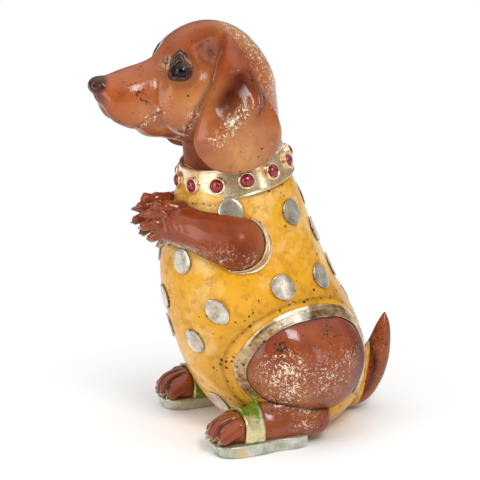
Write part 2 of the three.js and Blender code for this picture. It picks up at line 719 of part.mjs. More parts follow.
// Spot: a thin disc that follows the suit.
function spot([turn, height]) {
  const row = (radius, level) =>
    Array.from({ length: radius > 0 ? SPOT_SIDES : 1 }, (_, j) => {
      const angle = (2 * Math.PI * j) / SPOT_SIDES;
      const z = height + radius * Math.sin(angle);
      return suitPoint(z, radians(turn) + (radius * Math.cos(angle)) / torsoDepth(height), level);
    });
  const [under, over] = [GLUE_GAP, GLUE_GAP + SPOT_THICKNESS];
  return skinOver([row(0, under), row(SPOT_RADIUS, under), row(SPOT_RADIUS, over), row(0, over)]);
}

// Materials

const COLOURS = {
  coat: 0x9a4f28,
  suit: 0xdca023,
  gilt: 0xc9a765,
  stone: 0x8e1220,
  silver: 0xb9b3a6,
  sandal: 0x76993a,
  sole: 0x9fb0a4,
  eye: 0x140c08,
};
const FINISH = {
  coat: { roughness: 0.28, metalness: 0 },
  suit: { roughness: 0.35, metalness: 0 },
  gilt: { roughness: 0.3, metalness: 0.9 },
  stone: { roughness: 0.08, metalness: 0 },
  silver: { roughness: 0.38, metalness: 0.8 },
  sandal: { roughness: 0.3, metalness: 0.4 },
  sole: { roughness: 0.4, metalness: 0.6 },
  eye: { roughness: 0.05, metalness: 0 },
};

function piece(name, finish, geometry) {
  const material = new THREE.MeshStandardMaterial({ color: COLOURS[finish], ...FINISH[finish] });
  const mesh = new THREE.Mesh(geometry, material);
  mesh.name = name;
  return mesh;
}

// Assembly

function reflect(geometry) {
  const flipped = geometry.clone().scale(-1, 1, 1);
  const index = flipped.index.array;
  for (let i = 0; i < index.length; i += 3) [index[i + 1], index[i + 2]] = [index[i + 2], index[i + 1]];
  return flipped;
}

const SIDES = [
  ["left", (geometry) => geometry],
  ["right", reflect],
];

const numbered = (name, index) => `${name}_${String(index + 1).padStart(2, "0")}`;

const FAR = 300; // beyond every piece
const ground = block(V(-FAR, -FAR, -FAR), V(FAR, FAR, GROUND_Z));
const otherSide = block(V(-FAR, -FAR, -FAR), V(GLUE_GAP / 2, FAR, FAR));
const collarTilt = new THREE.Matrix4().makeRotationX(radians(COLLAR_TILT));
const collarPlace = new THREE.Matrix4().makeTranslation(0, COLLAR_Y, COLLAR_Z).multiply(collarTilt);

function neckTenon(level) {
  const root = V(0, 0, NECK_JOINT_RISE - NECK_TENON_LENGTH - level);
  return peg(root, V(0, 0, NECK_JOINT_RISE + 4), NECK_TENON_RADIUS + level);
}

const torsoSpace = torsoSkin(GLUE_GAP);
const legSpace = legSkin(GLUE_GAP);
const soleSpace = sole(GLUE_GAP);
const armSpace = armSkin(GLUE_GAP);
const collarSpace = collarBand(GLUE_GAP, COLLAR_RADIUS_LOW).applyMatrix4(collarPlace);

function torsoCasting() {
  const neckSide = block(V(-FAR, -FAR, NECK_JOINT_RISE), V(FAR, FAR, FAR)).applyMatrix4(collarPlace);
  const socket = armTenon(GLUE_GAP);
  return cut(
    torsoSkin(0),
    neckSide,
    neckTenon(GLUE_GAP).applyMatrix4(collarPlace),
    legSpace,
    reflect(legSpace),
    soleSpace,
    reflect(soleSpace),
    socket,
    reflect(mergeVertices(socket)),
    tailTenon(GLUE_GAP),
    collarSpace,
  );
}

const neckBand = collarBand(GLUE_GAP).applyMatrix4(collarTilt);

function headCasting() {
  const joint = NECK_JOINT_RISE + GLUE_GAP;
  const torsoSide = block(V(-FAR, -FAR, -FAR), V(FAR, FAR, joint)).applyMatrix4(collarTilt);
  const socket = eyeBall(GLUE_GAP);
  const body = cut(headSkin(0), torsoSide, neckBand, socket, reflect(socket));
  return join(body, neckTenon(0).applyMatrix4(collarTilt));
}

const dog = new THREE.Group();

dog.add(piece("torso_casting", "suit", torsoCasting()));
dog.add(piece("tail", "coat", join(cut(tailSkin(), torsoSpace, ground), tailTenon(0))));

const leg = cut(legSkin(0), ground, soleSpace);
const arm = join(cut(armSkin(0), torsoSpace, otherSide), armTenon(0));
const legHem = hem(thighField, THIGH, {
  from: LEG_HEM_FROM,
  to: LEG_HEM_TO,
  width: LEG_HEM_WIDTH,
  steps: 30,
});
const armHem = hem(armField, shoulder, {
  from: ARM_HEM_FROM,
  to: ARM_HEM_TO,
  width: ARM_HEM_WIDTH,
  steps: 20,
});
for (const [side, turn] of SIDES) {
  dog.add(piece(`${side}_hind_leg`, "coat", turn(leg)));
  dog.add(piece(`${side}_leg_hem`, "gilt", turn(legHem)));
  dog.add(piece(`${side}_foreleg`, "coat", turn(arm)));
  dog.add(piece(`${side}_armhole_hem`, "gilt", turn(armHem)));
  dog.add(piece(`${side}_sandal_sole`, "sole", turn(sole())));
  dog.add(piece(`${side}_sandal_strap`, "sandal", turn(cut(strap(), torsoSpace, legSpace))));
}

SPOTS.forEach((place, i) => {
  dog.add(piece(numbered("spot", i), "silver", cut(spot(place), collarSpace, armSpace, reflect(armSpace))));
});

const collar = new THREE.Group();
collar.applyMatrix4(collarPlace);
const cups = Array.from({ length: STONE_COUNT }, (_, i) => cup(i));
collar.add(piece("collar_band", "gilt", join(collarBand(), ...cups)));
for (let i = 0; i < STONE_COUNT; i++) collar.add(piece(numbered("collar_stone", i), "stone", stone(i)));
dog.add(collar);

const headGroup = new THREE.Group();
headGroup.position.set(0, COLLAR_Y, COLLAR_Z);
headGroup.add(piece("head_casting", "coat", headCasting()));
const ear = cut(earSkin(), headSkin(GLUE_GAP), neckBand);
for (const [side, turn] of SIDES) {
  headGroup.add(piece(`${side}_ear`, "coat", turn(ear)));
  headGroup.add(piece(`${side}_eye`, "eye", turn(eyeBall())));
}
dog.add(headGroup);

const middle = new THREE.Box3().setFromObject(dog).getCenter(V(0, 0, 0));
dog.position.set(0, -middle.y, -GROUND_Z);
const figurine = new THREE.Group();
figurine.name = "dog_figurine";
figurine.add(dog);

export default figurine;
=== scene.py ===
# %% [markdown]
# # A lacquered resin dog in a spotted suit
# The figurine is cast in resin, brushed with tinted lacquer and trimmed with metal leaf. This lesson
# dresses its plain CAD solids. Every casting is worked out again with numpy as a fine closed surface, and
# every finish is a procedural material. The frame is loaded first, and nothing in it is moved or resized.

# %% Load the frame
from functools import partial, reduce

import bpy
import numpy as np
from mathutils import Matrix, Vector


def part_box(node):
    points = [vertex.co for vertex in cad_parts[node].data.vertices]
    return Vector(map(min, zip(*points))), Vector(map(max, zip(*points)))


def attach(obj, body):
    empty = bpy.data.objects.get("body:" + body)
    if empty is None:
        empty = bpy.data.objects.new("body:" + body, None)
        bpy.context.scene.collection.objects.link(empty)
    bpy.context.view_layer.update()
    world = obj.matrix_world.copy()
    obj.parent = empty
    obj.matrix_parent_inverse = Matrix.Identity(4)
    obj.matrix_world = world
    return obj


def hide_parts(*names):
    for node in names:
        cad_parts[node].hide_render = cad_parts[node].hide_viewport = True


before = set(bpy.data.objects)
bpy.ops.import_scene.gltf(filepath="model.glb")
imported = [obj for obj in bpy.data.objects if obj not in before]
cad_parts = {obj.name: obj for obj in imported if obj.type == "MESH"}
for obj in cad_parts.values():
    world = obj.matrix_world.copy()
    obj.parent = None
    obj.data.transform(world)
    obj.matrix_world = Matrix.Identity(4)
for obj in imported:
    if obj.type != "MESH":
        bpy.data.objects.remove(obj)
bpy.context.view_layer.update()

MM = 0.001  # shapes are worked out in millimetres and put into the meshes in metres
TAU = 2 * np.pi
print("CAD nodes:", len(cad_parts))

# %% [markdown]
# ## Where the sizes are measured from
# The CAD model is centred on its own box, but a dog is easier to describe from the axis of its collar. The
# sandal sole ties the two together: its front edge is a known distance before that axis and its top a known
# height, so its box in the frame says how far every point of this script has to be shifted.

# %% Measure the frame
SOLE_FRONT = -32.5
SOLE_BACK = 23.5
SOLE_TOP = 8.5
GROUND = 1.5  # what is ground off under the castings, so that they stand flat


def node_box(name):
    """Lowest and highest corner of a CAD node, in millimetres from the frame's origin."""
    return [np.array(corner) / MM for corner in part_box(name)]


sole_low, sole_high = node_box("left_sandal_sole")
ORIGIN = np.array([0.0, sole_low[1] - SOLE_FRONT, sole_high[2] - SOLE_TOP])


def node_middle(name):
    """Middle of a CAD node's box, measured from this script's own origin."""
    return np.mean(node_box(name), axis=0) - ORIGIN


print("origin in the frame, mm:", ORIGIN.round(2))

# %% [markdown]
# ## Materials: the one helper
# A material is a small graph of nodes. One function adds a node, sets its properties and feeds its sockets,
# so that a recipe reads like a list. Colours are written as the hex values that a paint chart would give,
# and turned to linear light here.

# %% Colour and node helpers
def linear(hex_colour):
    """sRGB hex to linear RGBA: the low end is a straight line, the rest a power of 2.4."""
    srgb = np.array([int(hex_colour[i:i + 2], 16) for i in (1, 3, 5)]) / 255
    light = np.where(srgb <= 0.04045, srgb / 12.92, ((srgb + 0.055) / 1.055) ** 2.4)
    return (*light.tolist(), 1.0)


def add_node(tree, kind, feeds=(), **settings):
    """Add a node, set its properties, and feed its sockets with values or with other nodes' outputs."""
    node = tree.nodes.new(kind)
    for label, value in settings.items():
        setattr(node, label, value)
    for socket, value in dict(feeds).items():
        if isinstance(value, bpy.types.NodeSocket):
            tree.links.new(value, node.inputs[socket])
        else:
            node.inputs[socket].default_value = value
    return node


def per_mm(size):
    """Texture scale that makes one cell or wave of a pattern this many millimetres wide."""
    return 1 / (size * MM)


def blend(add, share, first, second):
    """Colour that goes from the first to the second by a share. A colour is a hex value or another output."""
    first, second = (linear(c) if isinstance(c, str) else c for c in (first, second))
    return add("ShaderNodeMix", {0: share, 6: first, 7: second}, data_type="RGBA").outputs[2]


def noise(add, places, size, **settings):
    """Output of a noise whose waves are this many millimetres wide."""
    feeds = {"Vector": places, "Scale": per_mm(size)} | {k.title(): v for k, v in settings.items()}
    return add("ShaderNodeTexNoise", feeds).outputs["Fac"]


def ranged(add, value, low, high, to_low=0.0, to_high=1.0):
    """Output that goes from one value to another while the input goes from low to high, and stays there."""
    return add("ShaderNodeMapRange", {0: value, 1: low, 2: high, 3: to_low, 4: to_high}).outputs[0]


def maths(add, operation, *values):
    """Output of one sum."""
    return add("ShaderNodeMath", dict(enumerate(values)), operation=operation).outputs[0]


def new_material(name):
    """An empty material, the helper bound to its tree, and the places on the object."""
    material = bpy.data.materials.new(name)
    material.use_nodes = True
    material.node_tree.nodes.clear()
    add = partial(add_node, material.node_tree)
    places = add("ShaderNodeTexCoord").outputs["Object"]
    return material, add, places


def painted(add, layer):
    """Output of a layer that is painted on the mesh, point by point."""
    return add("ShaderNodeAttribute", attribute_name=layer).outputs["Fac"]


def bumped(add, height, strength, depth):
    """Normal of a skin that rises by this many millimetres with a height."""
    feeds = {"Strength": strength, "Distance": depth * MM, "Height": height}
    return add("ShaderNodeBump", feeds).outputs["Normal"]


def finish_with(add, feeds):
    """Join a principled shader with these feeds to the material's output."""
    shader = add("ShaderNodeBsdfPrincipled", feeds)
    add("ShaderNodeOutputMaterial", {"Surface": shader.outputs["BSDF"]})


print("red-brown in linear light:", np.round(linear("#8a3d1c"), 3))

# %% [markdown]
# ## Lacquered resin
# The coat is resin under a tinted amber lacquer: translucent red-brown where it pools, orange on the temple
# and the muzzle, and tan where it was wiped thin. The same dark red-brown is also laid into hollows, creases,
# joints and turned-away sides as painted shade, and tan into a few lit places as painted light. Flakes of
# gold leaf float in it, and pits and soot of a dark patina lie on top. Each casting carries painted layers as
# attributes (`amber`, `tan`, `deep`, `soot`, `flake`, `gilt` and `dull`), so that one recipe serves the head,
# the ears and the limbs. Lacquer is a smooth dielectric, so the gloss is a clear coat of IOR 1.5, which is
# thin where the layer `dull` says that it is rubbed off.

# %% Lacquer recipe
LACQUER_RED = "#84371a"
LACQUER_ORANGE = "#a55426"
LACQUER_TAN = "#c28650"
LACQUER_DEEP = "#3a140b"
FLAKE_CREAM = "#f4e2c2"
GILT_LIGHT = "#e2c892"
GILT_DARK = "#3a2412"
PATINA = "#1d0f08"
LACQUER_LAYERS = ("amber", "tan", "deep", "soot", "flake", "gilt", "dull")


def lacquered_resin():
    """Ground, tan and painted light, dark lacquer and painted shade, pits and soot, flakes and gilding, in
    order.
    """
    material, add, places = new_material("lacquered_resin")
    layer = {name: painted(add, name) for name in LACQUER_LAYERS}
    cloud = noise(add, places, 5, detail=5.0, roughness=0.6)
    warmth = maths(add, "MULTIPLY_ADD", noise(add, places, 16, detail=4.0), 0.9, layer["amber"])
    ground = blend(add, ranged(add, warmth, 0.45, 1.15), LACQUER_RED, LACQUER_ORANGE)
    # `tan` is the lacquer wiped thin, and on the nape and the jaw bulge of the head it is also painted light.
    wiped_and_lit = maths(add, "MULTIPLY", layer["tan"], ranged(add, cloud, 0.25, 0.6, 0.35, 1.0))
    ageing = ranged(add, noise(add, places, 10, detail=5.0), 0.5, 0.75, 0.0, 0.3)
    # `deep` darkens towards LACQUER_DEEP: the dark nose, claws and lids, and painted shade in hollows,
    # creases, joints and turned-away sides
    aged_and_shaded = maths(add, "MINIMUM", maths(add, "ADD", layer["deep"], ageing), 1.0)
    pooled_and_shaded = blend(add, aged_and_shaded, blend(add, wiped_and_lit, ground, LACQUER_TAN), LACQUER_DEEP)

    # Pits are ragged spots in some cells of a pattern, and soot is a fine noise lifted where it is painted
    cells = add("ShaderNodeTexVoronoi", {"Vector": places, "Scale": per_mm(2.1)})
    ragged = maths(add, "MULTIPLY_ADD", noise(add, places, 0.9, detail=2.0), 0.5, cells.outputs["Distance"])
    pit_size = ranged(add, cells.outputs["Color"], 0.25, 0.95, 0.0, 0.6)
    pits = ranged(add, maths(add, "SUBTRACT", pit_size, ragged), 0.0, 0.06)
    grain = noise(add, places, 1.2, detail=4.0, distortion=0.6)
    sooty = maths(add, "MULTIPLY_ADD", layer["soot"], 0.33, grain)
    dark = maths(add, "MAXIMUM", pits, ranged(add, sooty, 0.76, 0.8))
    specked = blend(add, maths(add, "MULTIPLY", dark, 0.88), pooled_and_shaded, PATINA)

    # Flakes are the crests of a twisted noise, which make short curls; the painted layer says how many show
    curls = noise(add, places, 3.2, detail=4.0, distortion=1.5)
    away = maths(add, "ABSOLUTE", maths(add, "SUBTRACT", curls, 0.5))
    scatter = ranged(add, noise(add, places, 2.4, detail=3.0), 0.36, 0.66, 0.0, 0.1)
    inside = maths(add, "SUBTRACT", maths(add, "MULTIPLY", layer["flake"], scatter), away)
    flake = ranged(add, inside, 0.0, 0.014)
    flaked = blend(add, flake, specked, FLAKE_CREAM)

    # Gilding is broken leaf, bright on the high spots and brown between
    leaf = ranged(add, noise(add, places, 2.2, detail=4.0, distortion=0.8), 0.42, 0.58)
    coat = blend(add, layer["gilt"], flaked, blend(add, leaf, GILT_DARK, GILT_LIGHT))
    relief = bumped(add, maths(add, "ADD", flake, cloud), 0.5, 0.4)
    satin = ranged(add, cloud, 0.3, 0.7, 0.34, 0.44)
    finish_with(add, {
        "Base Color": coat, "Metallic": maths(add, "MULTIPLY_ADD", flake, 0.4, layer["gilt"]), "IOR": 1.5,
        "Roughness": maths(add, "MULTIPLY_ADD", layer["gilt"], -0.2, satin), "Specular IOR Level": 0.04,
        "Coat Weight": ranged(add, layer["dull"], 0.0, 1.0, 0.85, 0.08), "Coat Roughness": 0.07,
        "Coat IOR": 1.5, "Normal": relief, "Coat Normal": relief})
    return material


LACQUER = lacquered_resin()
print("made", LACQUER.name)

# %% [markdown]
# ## Yellow suit lacquer
# The suit is an opaque golden yellow, rubbed so that paler and browner clouds show, with dark patina left
# in the corners beside the trimmings. The layer `grime` marks those corners, and also painted shade behind
# the haunch.

# %% Suit recipe
SUIT_GOLD = "#dfa024"
SUIT_PALE = "#e9c680"
SUIT_BROWN = "#a86c18"
SUIT_WASH_AND_SHADE = "#4a2e0e"


def yellow_lacquer():
    """Two clouds of colour over gold, then specks that gather where the grime layer is high."""
    material, add, places = new_material("rubbed_yellow_lacquer")
    grime = painted(add, "grime")
    blotch = noise(add, places, 26, detail=5.0, roughness=0.6)
    rub = noise(add, places, 6, detail=6.0, roughness=0.7)
    pale = blend(add, ranged(add, blotch, 0.46, 0.66, 0.0, 0.85), SUIT_GOLD, SUIT_PALE)
    rubbed = blend(add, ranged(add, rub, 0.48, 0.74, 0.0, 0.85), pale, SUIT_BROWN)
    cells = add("ShaderNodeTexVoronoi", {"Vector": places, "Scale": per_mm(2.4)})
    ragged = maths(add, "MULTIPLY_ADD", noise(add, places, 0.7, detail=3.0), 0.8, cells.outputs["Distance"])
    gathered = maths(add, "MULTIPLY_ADD", grime, 0.3, noise(add, places, 9, detail=3.0))
    often = maths(add, "MULTIPLY", ranged(add, gathered, 0.36, 0.7), cells.outputs["Color"])
    speck_size = ranged(add, often, 0.15, 0.75, 0.2, 0.85)
    specks = ranged(add, maths(add, "SUBTRACT", speck_size, ragged), 0.0, 0.08, 0.0, 0.9)
    # Here the grime layer darkens the suit: a wash of patina, and painted shade behind the haunch.
    stain = maths(add, "MINIMUM", maths(add, "MULTIPLY_ADD", grime, 0.5, specks), 1.0)
    relief = bumped(add, rub, 0.2, 0.2)
    finish_with(add, {
        "Base Color": blend(add, stain, rubbed, SUIT_WASH_AND_SHADE), "IOR": 1.5, "Specular IOR Level": 0.1,
        "Roughness": ranged(add, rub, 0.3, 0.7, 0.34, 0.5), "Coat Weight": 0.4, "Coat Roughness": 0.09,
        "Coat IOR": 1.5, "Normal": relief, "Coat Normal": relief})
    return material


SUIT_PAINT = yellow_lacquer()
print("made", SUIT_PAINT.name)

# %% [markdown]
# ## Metal leaf
# Collar, bindings, dots, straps and soles are covered with leaf: a metal skin a few thousandths of a
# millimetre thick, laid in overlapping sheets and rubbed. It shows soft wrinkles, a change of tint from
# sheet to sheet and brown or grey tarnish in spots. One recipe makes them all from a pair of tints, a
# tarnish and how much of it.

# %% Leaf recipe
def metal_leaf(name, light, dark, tarnish, amount, metallic, roughness, second=None):
    """Leaf in two tints, tarnished in spots; a second colour takes over where `turn` is painted."""
    material, add, places = new_material(name)
    grime = painted(add, "grime")
    sheet = noise(add, places, 7, detail=6.0, roughness=0.65)
    leaf = blend(add, ranged(add, sheet, 0.36, 0.62), dark, light)
    if second:
        turn = painted(add, "turn")
        edge = maths(add, "MULTIPLY_ADD", sheet, 1.6, maths(add, "SUBTRACT", turn, 0.8))
        leaf = blend(add, ranged(add, edge, 0.4, 0.6), leaf, second)
    cells = add("ShaderNodeTexVoronoi", {"Vector": places, "Scale": per_mm(2.2)})
    gathered = maths(add, "MULTIPLY_ADD", grime, 0.35, noise(add, places, 5, detail=4.0))
    spot_size = ranged(add, gathered, 0.5, 0.8, 0.0, amount)
    spots = ranged(add, maths(add, "SUBTRACT", spot_size, cells.outputs["Distance"]), 0.0, 0.1, 0.0, 0.85)
    stain = maths(add, "MINIMUM", maths(add, "MULTIPLY_ADD", grime, 0.7, spots), 1.0)
    wrinkle = noise(add, places, 1.6, detail=4.0, distortion=0.6)
    finish_with(add, {
        "Base Color": blend(add, stain, leaf, tarnish), "Normal": bumped(add, wrinkle, 0.22, 0.2),
        "Metallic": ranged(add, stain, 0.0, 1.0, metallic, 0.1), "Coat Weight": 0.15, "Coat Roughness": 0.1,
        "Roughness": ranged(add, sheet, 0.3, 0.7, roughness + 0.08, roughness)})
    return material


COLLAR_LEAF = metal_leaf("pale_gold_leaf", "#feebc8", "#d9a569", "#6b4a22", 0.16, 0.8, 0.17)
# The binding leaf's pale second tint is a painted highlight, laid over the top of the leg openings.
BINDING_LEAF = metal_leaf("worn_gold_leaf", "#e4c594", "#8a5f34", "#2c1b0b", 0.6, 0.8, 0.14, "#f8ead0")
SILVER_LEAF = metal_leaf("silver_leaf", "#e9e0d0", "#a89a86", "#3f382e", 0.42, 0.75, 0.24)
STRAP_LEAF = metal_leaf("green_lacquered_leaf", "#84a032", "#5d7d28", "#2f3f17", 0.6, 0.5, 0.24, "#d6cc98")
SOLE_LEAF = metal_leaf("grey_green_leaf", "#dedac8", "#a3a898", "#5c5138", 0.35, 0.65, 0.27, "#d0b584")
print("made five kinds of leaf")

# %% [markdown]
# ## Glass
# The eyes are polished black balls, and the stones of the collar are red glass cabochons. Both are as
# smooth as glass gets, so their shape shows only in what they reflect. A faint cloud in the colour keeps
# them from being a single flat tint.

# %% Glass recipe
def polished_glass(name, body, glow, coat):
    """Dark glass whose tint drifts a little with a slow noise."""
    material, add, places = new_material(name)
    drift = noise(add, places, 4, detail=2.0)
    finish_with(add, {
        "Base Color": blend(add, drift, body, glow), "Roughness": ranged(add, drift, 0.0, 1.0, 0.04, 0.09),
        "IOR": 1.52, "Specular IOR Level": 0.25, "Coat Weight": coat, "Coat Roughness": 0.03})
    return material


EYE_GLASS = polished_glass("black_glass", "#040202", "#0f0704", 0.2)
STONE_GLASS = polished_glass("red_glass", "#74081a", "#a3142a", 1.0)
print("made", EYE_GLASS.name, "and", STONE_GLASS.name)

# %% [markdown]
# ## Surfaces as grids of points
# Each piece is a function of two parameters: one goes along it, the other round it. A grid of such points
# becomes a closed mesh by joining every point to its neighbours. Where the rows end in a pole, the pole row
# folds into one point. A band that closes both ways, like a ring, has no poles at all.

# %% Grid to mesh
def tube_mesh(grid):
    """Points and faces of a grid whose columns close round, with its first and last row folded into poles."""
    rows, columns = grid.shape[:2]
    points = np.concatenate([grid[:1, 0], grid[1:-1].reshape(-1, 3), grid[-1:, 0]])
    index = 1 + np.arange((rows - 2) * columns).reshape(rows - 2, columns)
    beside = np.roll(index, -1, axis=1)
    quads = np.stack([index[:-1], beside[:-1], beside[1:], index[1:]], axis=-1).reshape(-1, 4)
    first = np.stack([np.zeros(columns, int), beside[0], index[0]], axis=-1)
    last = np.stack([np.full(columns, len(points) - 1), index[-1], beside[-1]], axis=-1)
    return facing_out(points, quads, np.concatenate([first, last]))


def ring_mesh(grid):
    """Points and faces of a grid that closes both along its rows and along its columns."""
    rows, columns = grid.shape[:2]
    index = np.arange(rows * columns).reshape(rows, columns)
    beside, after = np.roll(index, -1, axis=1), np.roll(index, -1, axis=0)
    across = np.roll(beside, -1, axis=0)
    quads = np.stack([index, beside, across, after], axis=-1).reshape(-1, 4)
    return facing_out(grid.reshape(-1, 3), quads, np.empty((0, 3), int))


def facing_out(points, quads, triangles):
    """Turn every face round if the volume that the quads enclose comes out negative."""
    a, b, c, d = (points[quads[:, k]] for k in range(4))
    volume = np.einsum("ij,ij->", a, np.cross(b, c)) + np.einsum("ij,ij->", a, np.cross(c, d))
    if volume < 0:
        quads, triangles = quads[:, ::-1], triangles[:, ::-1]
    return points, quads, triangles


def reflected(shell):
    """The same shell on the dog's right side."""
    points, quads, triangles = shell
    return points * [-1, 1, 1], quads[:, ::-1], triangles[:, ::-1]


def turns(count):
    """Angles that share out a full turn."""
    return TAU * np.arange(count) / count


def end_caps(grid):
    """A row of points for each end of a tube, all in the middle of its last ring."""
    return [np.repeat(grid[i].mean(axis=0)[None, None], grid.shape[1], axis=1) for i in (0, -1)]


def capped(grid):
    """A tube with both ends closed."""
    first, last = end_caps(grid)
    return np.concatenate([first, grid, last])


def linked(name, data):
    """An object of the scene that shows a mesh, a camera or a lamp."""
    thing = bpy.data.objects.new(name, data)
    bpy.context.scene.collection.objects.link(thing)
    return thing


def make_piece(name, shells, finish, stands_for=(), paint=()):
    """One object from closed shells. A painted layer holds a value for every point, or one for them all."""
    starts = np.cumsum([0] + [len(points) for points, _, _ in shells])
    points = np.concatenate([points for points, _, _ in shells])
    faces = [f for start, shell in zip(starts, shells) for part in shell[1:] for f in (part + start).tolist()]
    mesh = bpy.data.meshes.new(name)
    mesh.from_pydata(((points + ORIGIN) * MM).tolist(), [], faces)
    mesh.shade_smooth()
    mesh.materials.append(finish)
    for layer, values in dict(paint).items():
        attribute = mesh.attributes.new(layer, "FLOAT", "POINT")
        values = np.broadcast_to(np.clip(values, 0, 1), len(points))
        attribute.data.foreach_set("value", values.astype(np.float32))
    piece = linked(name, mesh)
    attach(piece, "root")
    if stands_for:
        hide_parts(*stands_for)
    print(f"{name}: {len(points)} points")


def make_pair(name, shells, finish, node=None, paint=()):
    """A piece of the dog's left side and its mirror image, each standing for the CAD node of its side."""
    for side, turned in (("left", lambda shell: shell), ("right", reflected)):
        stands_for = [f"{side}_{node}"] if node else ()
        make_piece(f"{name}_{side}", [turned(shell) for shell in shells], finish, stands_for, paint)


print("a full turn shared by four, in degrees:", np.degrees(turns(4)))

# %% [markdown]
# ## Castings as merged masses
# A modeller builds a head from lumps of clay pressed together and smoothed. Here each lump is a field: a
# number for every point of space, negative inside the lump and about the distance to its skin outside. The
# smooth minimum of two fields presses the lumps together. A groove adds to the field along a line, so the
# skin sinks there, and a ridge takes away from it. The skin itself is found by walking rays out of a core
# line until the field is zero, all rays at once.

# %% Fields
def length(v):
    """Length of the vectors in the last axis."""
    return np.sqrt(np.einsum("...i,...i->...", v, v))


def ellipsoid(p, at, radii):
    """Distance to an ellipsoid, from how far out the point is in units of the radii."""
    q = (p - np.asarray(at)) / np.asarray(radii)
    ratio = length(q)
    return ratio * (ratio - 1) / np.maximum(length(q / np.asarray(radii)), 1e-9)


def rod(p, a, radius_a, b, radius_b):
    """Distance to a round rod that tapers from one end to the other."""
    a, line = np.asarray(a, float), np.subtract(b, a).astype(float)
    share = np.clip(((p - a) @ line) / (line @ line), 0, 1)
    return length(p - a - share[..., None] * line) - (radius_a + (radius_b - radius_a) * share)


def soft_min(a, b, width):
    """Smaller of two distances, rounded with a cubic where they are within a width of each other."""
    close = np.maximum(width - np.abs(a - b), 0) / width
    return np.minimum(a, b) - close ** 3 * width / 6


def merged(width, *fields):
    """Several lumps pressed together."""
    return reduce(lambda a, b: soft_min(a, b, width), fields)


def smooth_line(points, steps=8, closed=False):
    """Catmull-Rom curve through given points, as an array of points."""
    points = np.asarray(points, float)
    padded = (np.concatenate([points[-1:], points, points[:2]]) if closed
              else np.concatenate([2 * points[:1] - points[1:2], points, 2 * points[-1:] - points[-2:-1]]))
    t = (np.arange(steps) / steps)[:, None, None]
    a, b, c, d = padded[:-3], padded[1:-2], padded[2:-1], padded[3:]
    curve = b + t / 2 * (c - a + t * (2 * a - 5 * b + 4 * c - d + t * (3 * (b - c) + d - a)))
    curve = curve.transpose(1, 0, 2).reshape(-1, points.shape[1])
    return curve if closed else np.concatenate([curve, points[-1:]])


def distance_to_line(p, line):
    """Shortest distance from each point to a chain of straight segments."""
    best = np.full(p.shape[:-1], np.inf)
    for a, b in zip(line[:-1], line[1:]):
        along = b - a
        share = np.clip(((p - a) @ along) / (along @ along), 0, 1)
        best = np.minimum(best, length(p - a - share[..., None] * along))
    return best


def bell(distance, width):
    """Bell curve: one on the spot, and gone at about two widths."""
    return np.exp(-(distance / width) ** 2)


def ramp(value, start, end):
    """Nought before the start, one past the end, and a straight slope between."""
    return np.clip((value - start) / (end - start), 0, 1)


def side_bell(p, y, z, width):
    """Bell about a place of the side view, the same on both sides of the dog."""
    return bell(np.hypot(p[..., 1] - y, p[..., 2] - z), width)


def side_line(p, line, width):
    """Bell about a line drawn on the side view."""
    return bell(distance_to_line(p[..., 1:], smooth_line(line, 4)), width)


def bells(p, places):
    """Highest of several bells of the side view, each given as strength, y, z and width."""
    return np.max([strength * side_bell(p, y, z, width) for strength, y, z, width in places], axis=0)


def strokes(p, lines):
    """Highest of several brush strokes of the side view, each given as strength, line and width."""
    return np.max([strength * side_line(p, line, width) for strength, line, width in lines], axis=0)


def axes(azimuth, elevation):
    """Sideways, upward and outward axes of a direction, turned from the dog's front towards its left."""
    level = np.cos(elevation)
    outward = np.array([np.sin(azimuth) * level, -np.cos(azimuth) * level, np.sin(elevation)])
    sideways = np.array([np.cos(azimuth), np.sin(azimuth), 0])
    return sideways, np.cross(outward, sideways), outward


def unevenness(p, size, seed):
    """Slow waves in six seeded directions, between about -1 and 1: no casting is perfectly even."""
    rng = np.random.default_rng(seed)
    waves = rng.normal(size=(6, 3)) * TAU / size / 1.7
    return np.sin(p @ waves.T + rng.uniform(0, TAU, 6)).mean(axis=-1) * 1.6


# %% Walking out to the skin
def straight_core(start, end, rows, round_start=0, round_end=0, up=(0, 0, 1)):
    """Rings along a straight core; at a round end the rays tip over from square to the core to along it."""
    start, end = np.asarray(start, float), np.asarray(end, float)
    forward = (end - start) / length(end - start)
    square = np.asarray(up) - np.dot(up, forward) * forward
    square = square / length(square)
    quarter = np.pi / 2
    share = np.concatenate([np.zeros(round_start), np.linspace(0, 1, rows + 1), np.ones(round_end)])
    lean = np.concatenate([-quarter * (1 - np.arange(round_start) / max(round_start, 1)), np.zeros(rows + 1),
                           quarter * (1 + np.arange(round_end)) / max(round_end, 1)])
    many = np.ones((len(share), 1))
    return start + share[:, None] * (end - start), many * forward, many * square, lean


def walked_grid(field, core, columns, carve=None, steps=70, share=0.6):
    """Grid of points where rays from the core reach the skin. A carving then sinks it along the rays."""
    start, forward, up, lean = core
    turn = turns(columns)[None, :, None]
    spokes = np.sin(turn) * np.cross(up, forward)[:, None] + np.cos(turn) * up[:, None]
    rays = np.cos(lean)[:, None, None] * spokes + np.sin(lean)[:, None, None] * forward[:, None]
    grid = np.repeat(start[:, None], columns, axis=1)
    for _ in range(steps):
        grid = grid - share * field(grid)[..., None] * rays
    if carve:
        grid = grid - carve(grid)[..., None] * rays
    cap = end_caps(grid)
    pole = np.abs(np.abs(lean[[0, -1]]) - np.pi / 2) < 1e-6
    return np.concatenate(([] if pole[0] else [cap[0]]) + [grid] + ([] if pole[1] else [cap[1]]))


print("a rod of 5 mm, seen from 8 mm off its axis:", rod(np.array([[8.0, 0, 1]]), (0, 0, 0), 5, (0, 0, 2), 5))

# %% [markdown]
# ## The suit
# The torso is a stack of ovals whose middle, depth and width follow smooth curves through a few stations,
# from the flat seat to the neck. The surface is a formula in height and turn, so anything that lies on the
# suit (a dot, a binding) can use the same formula a little further out.

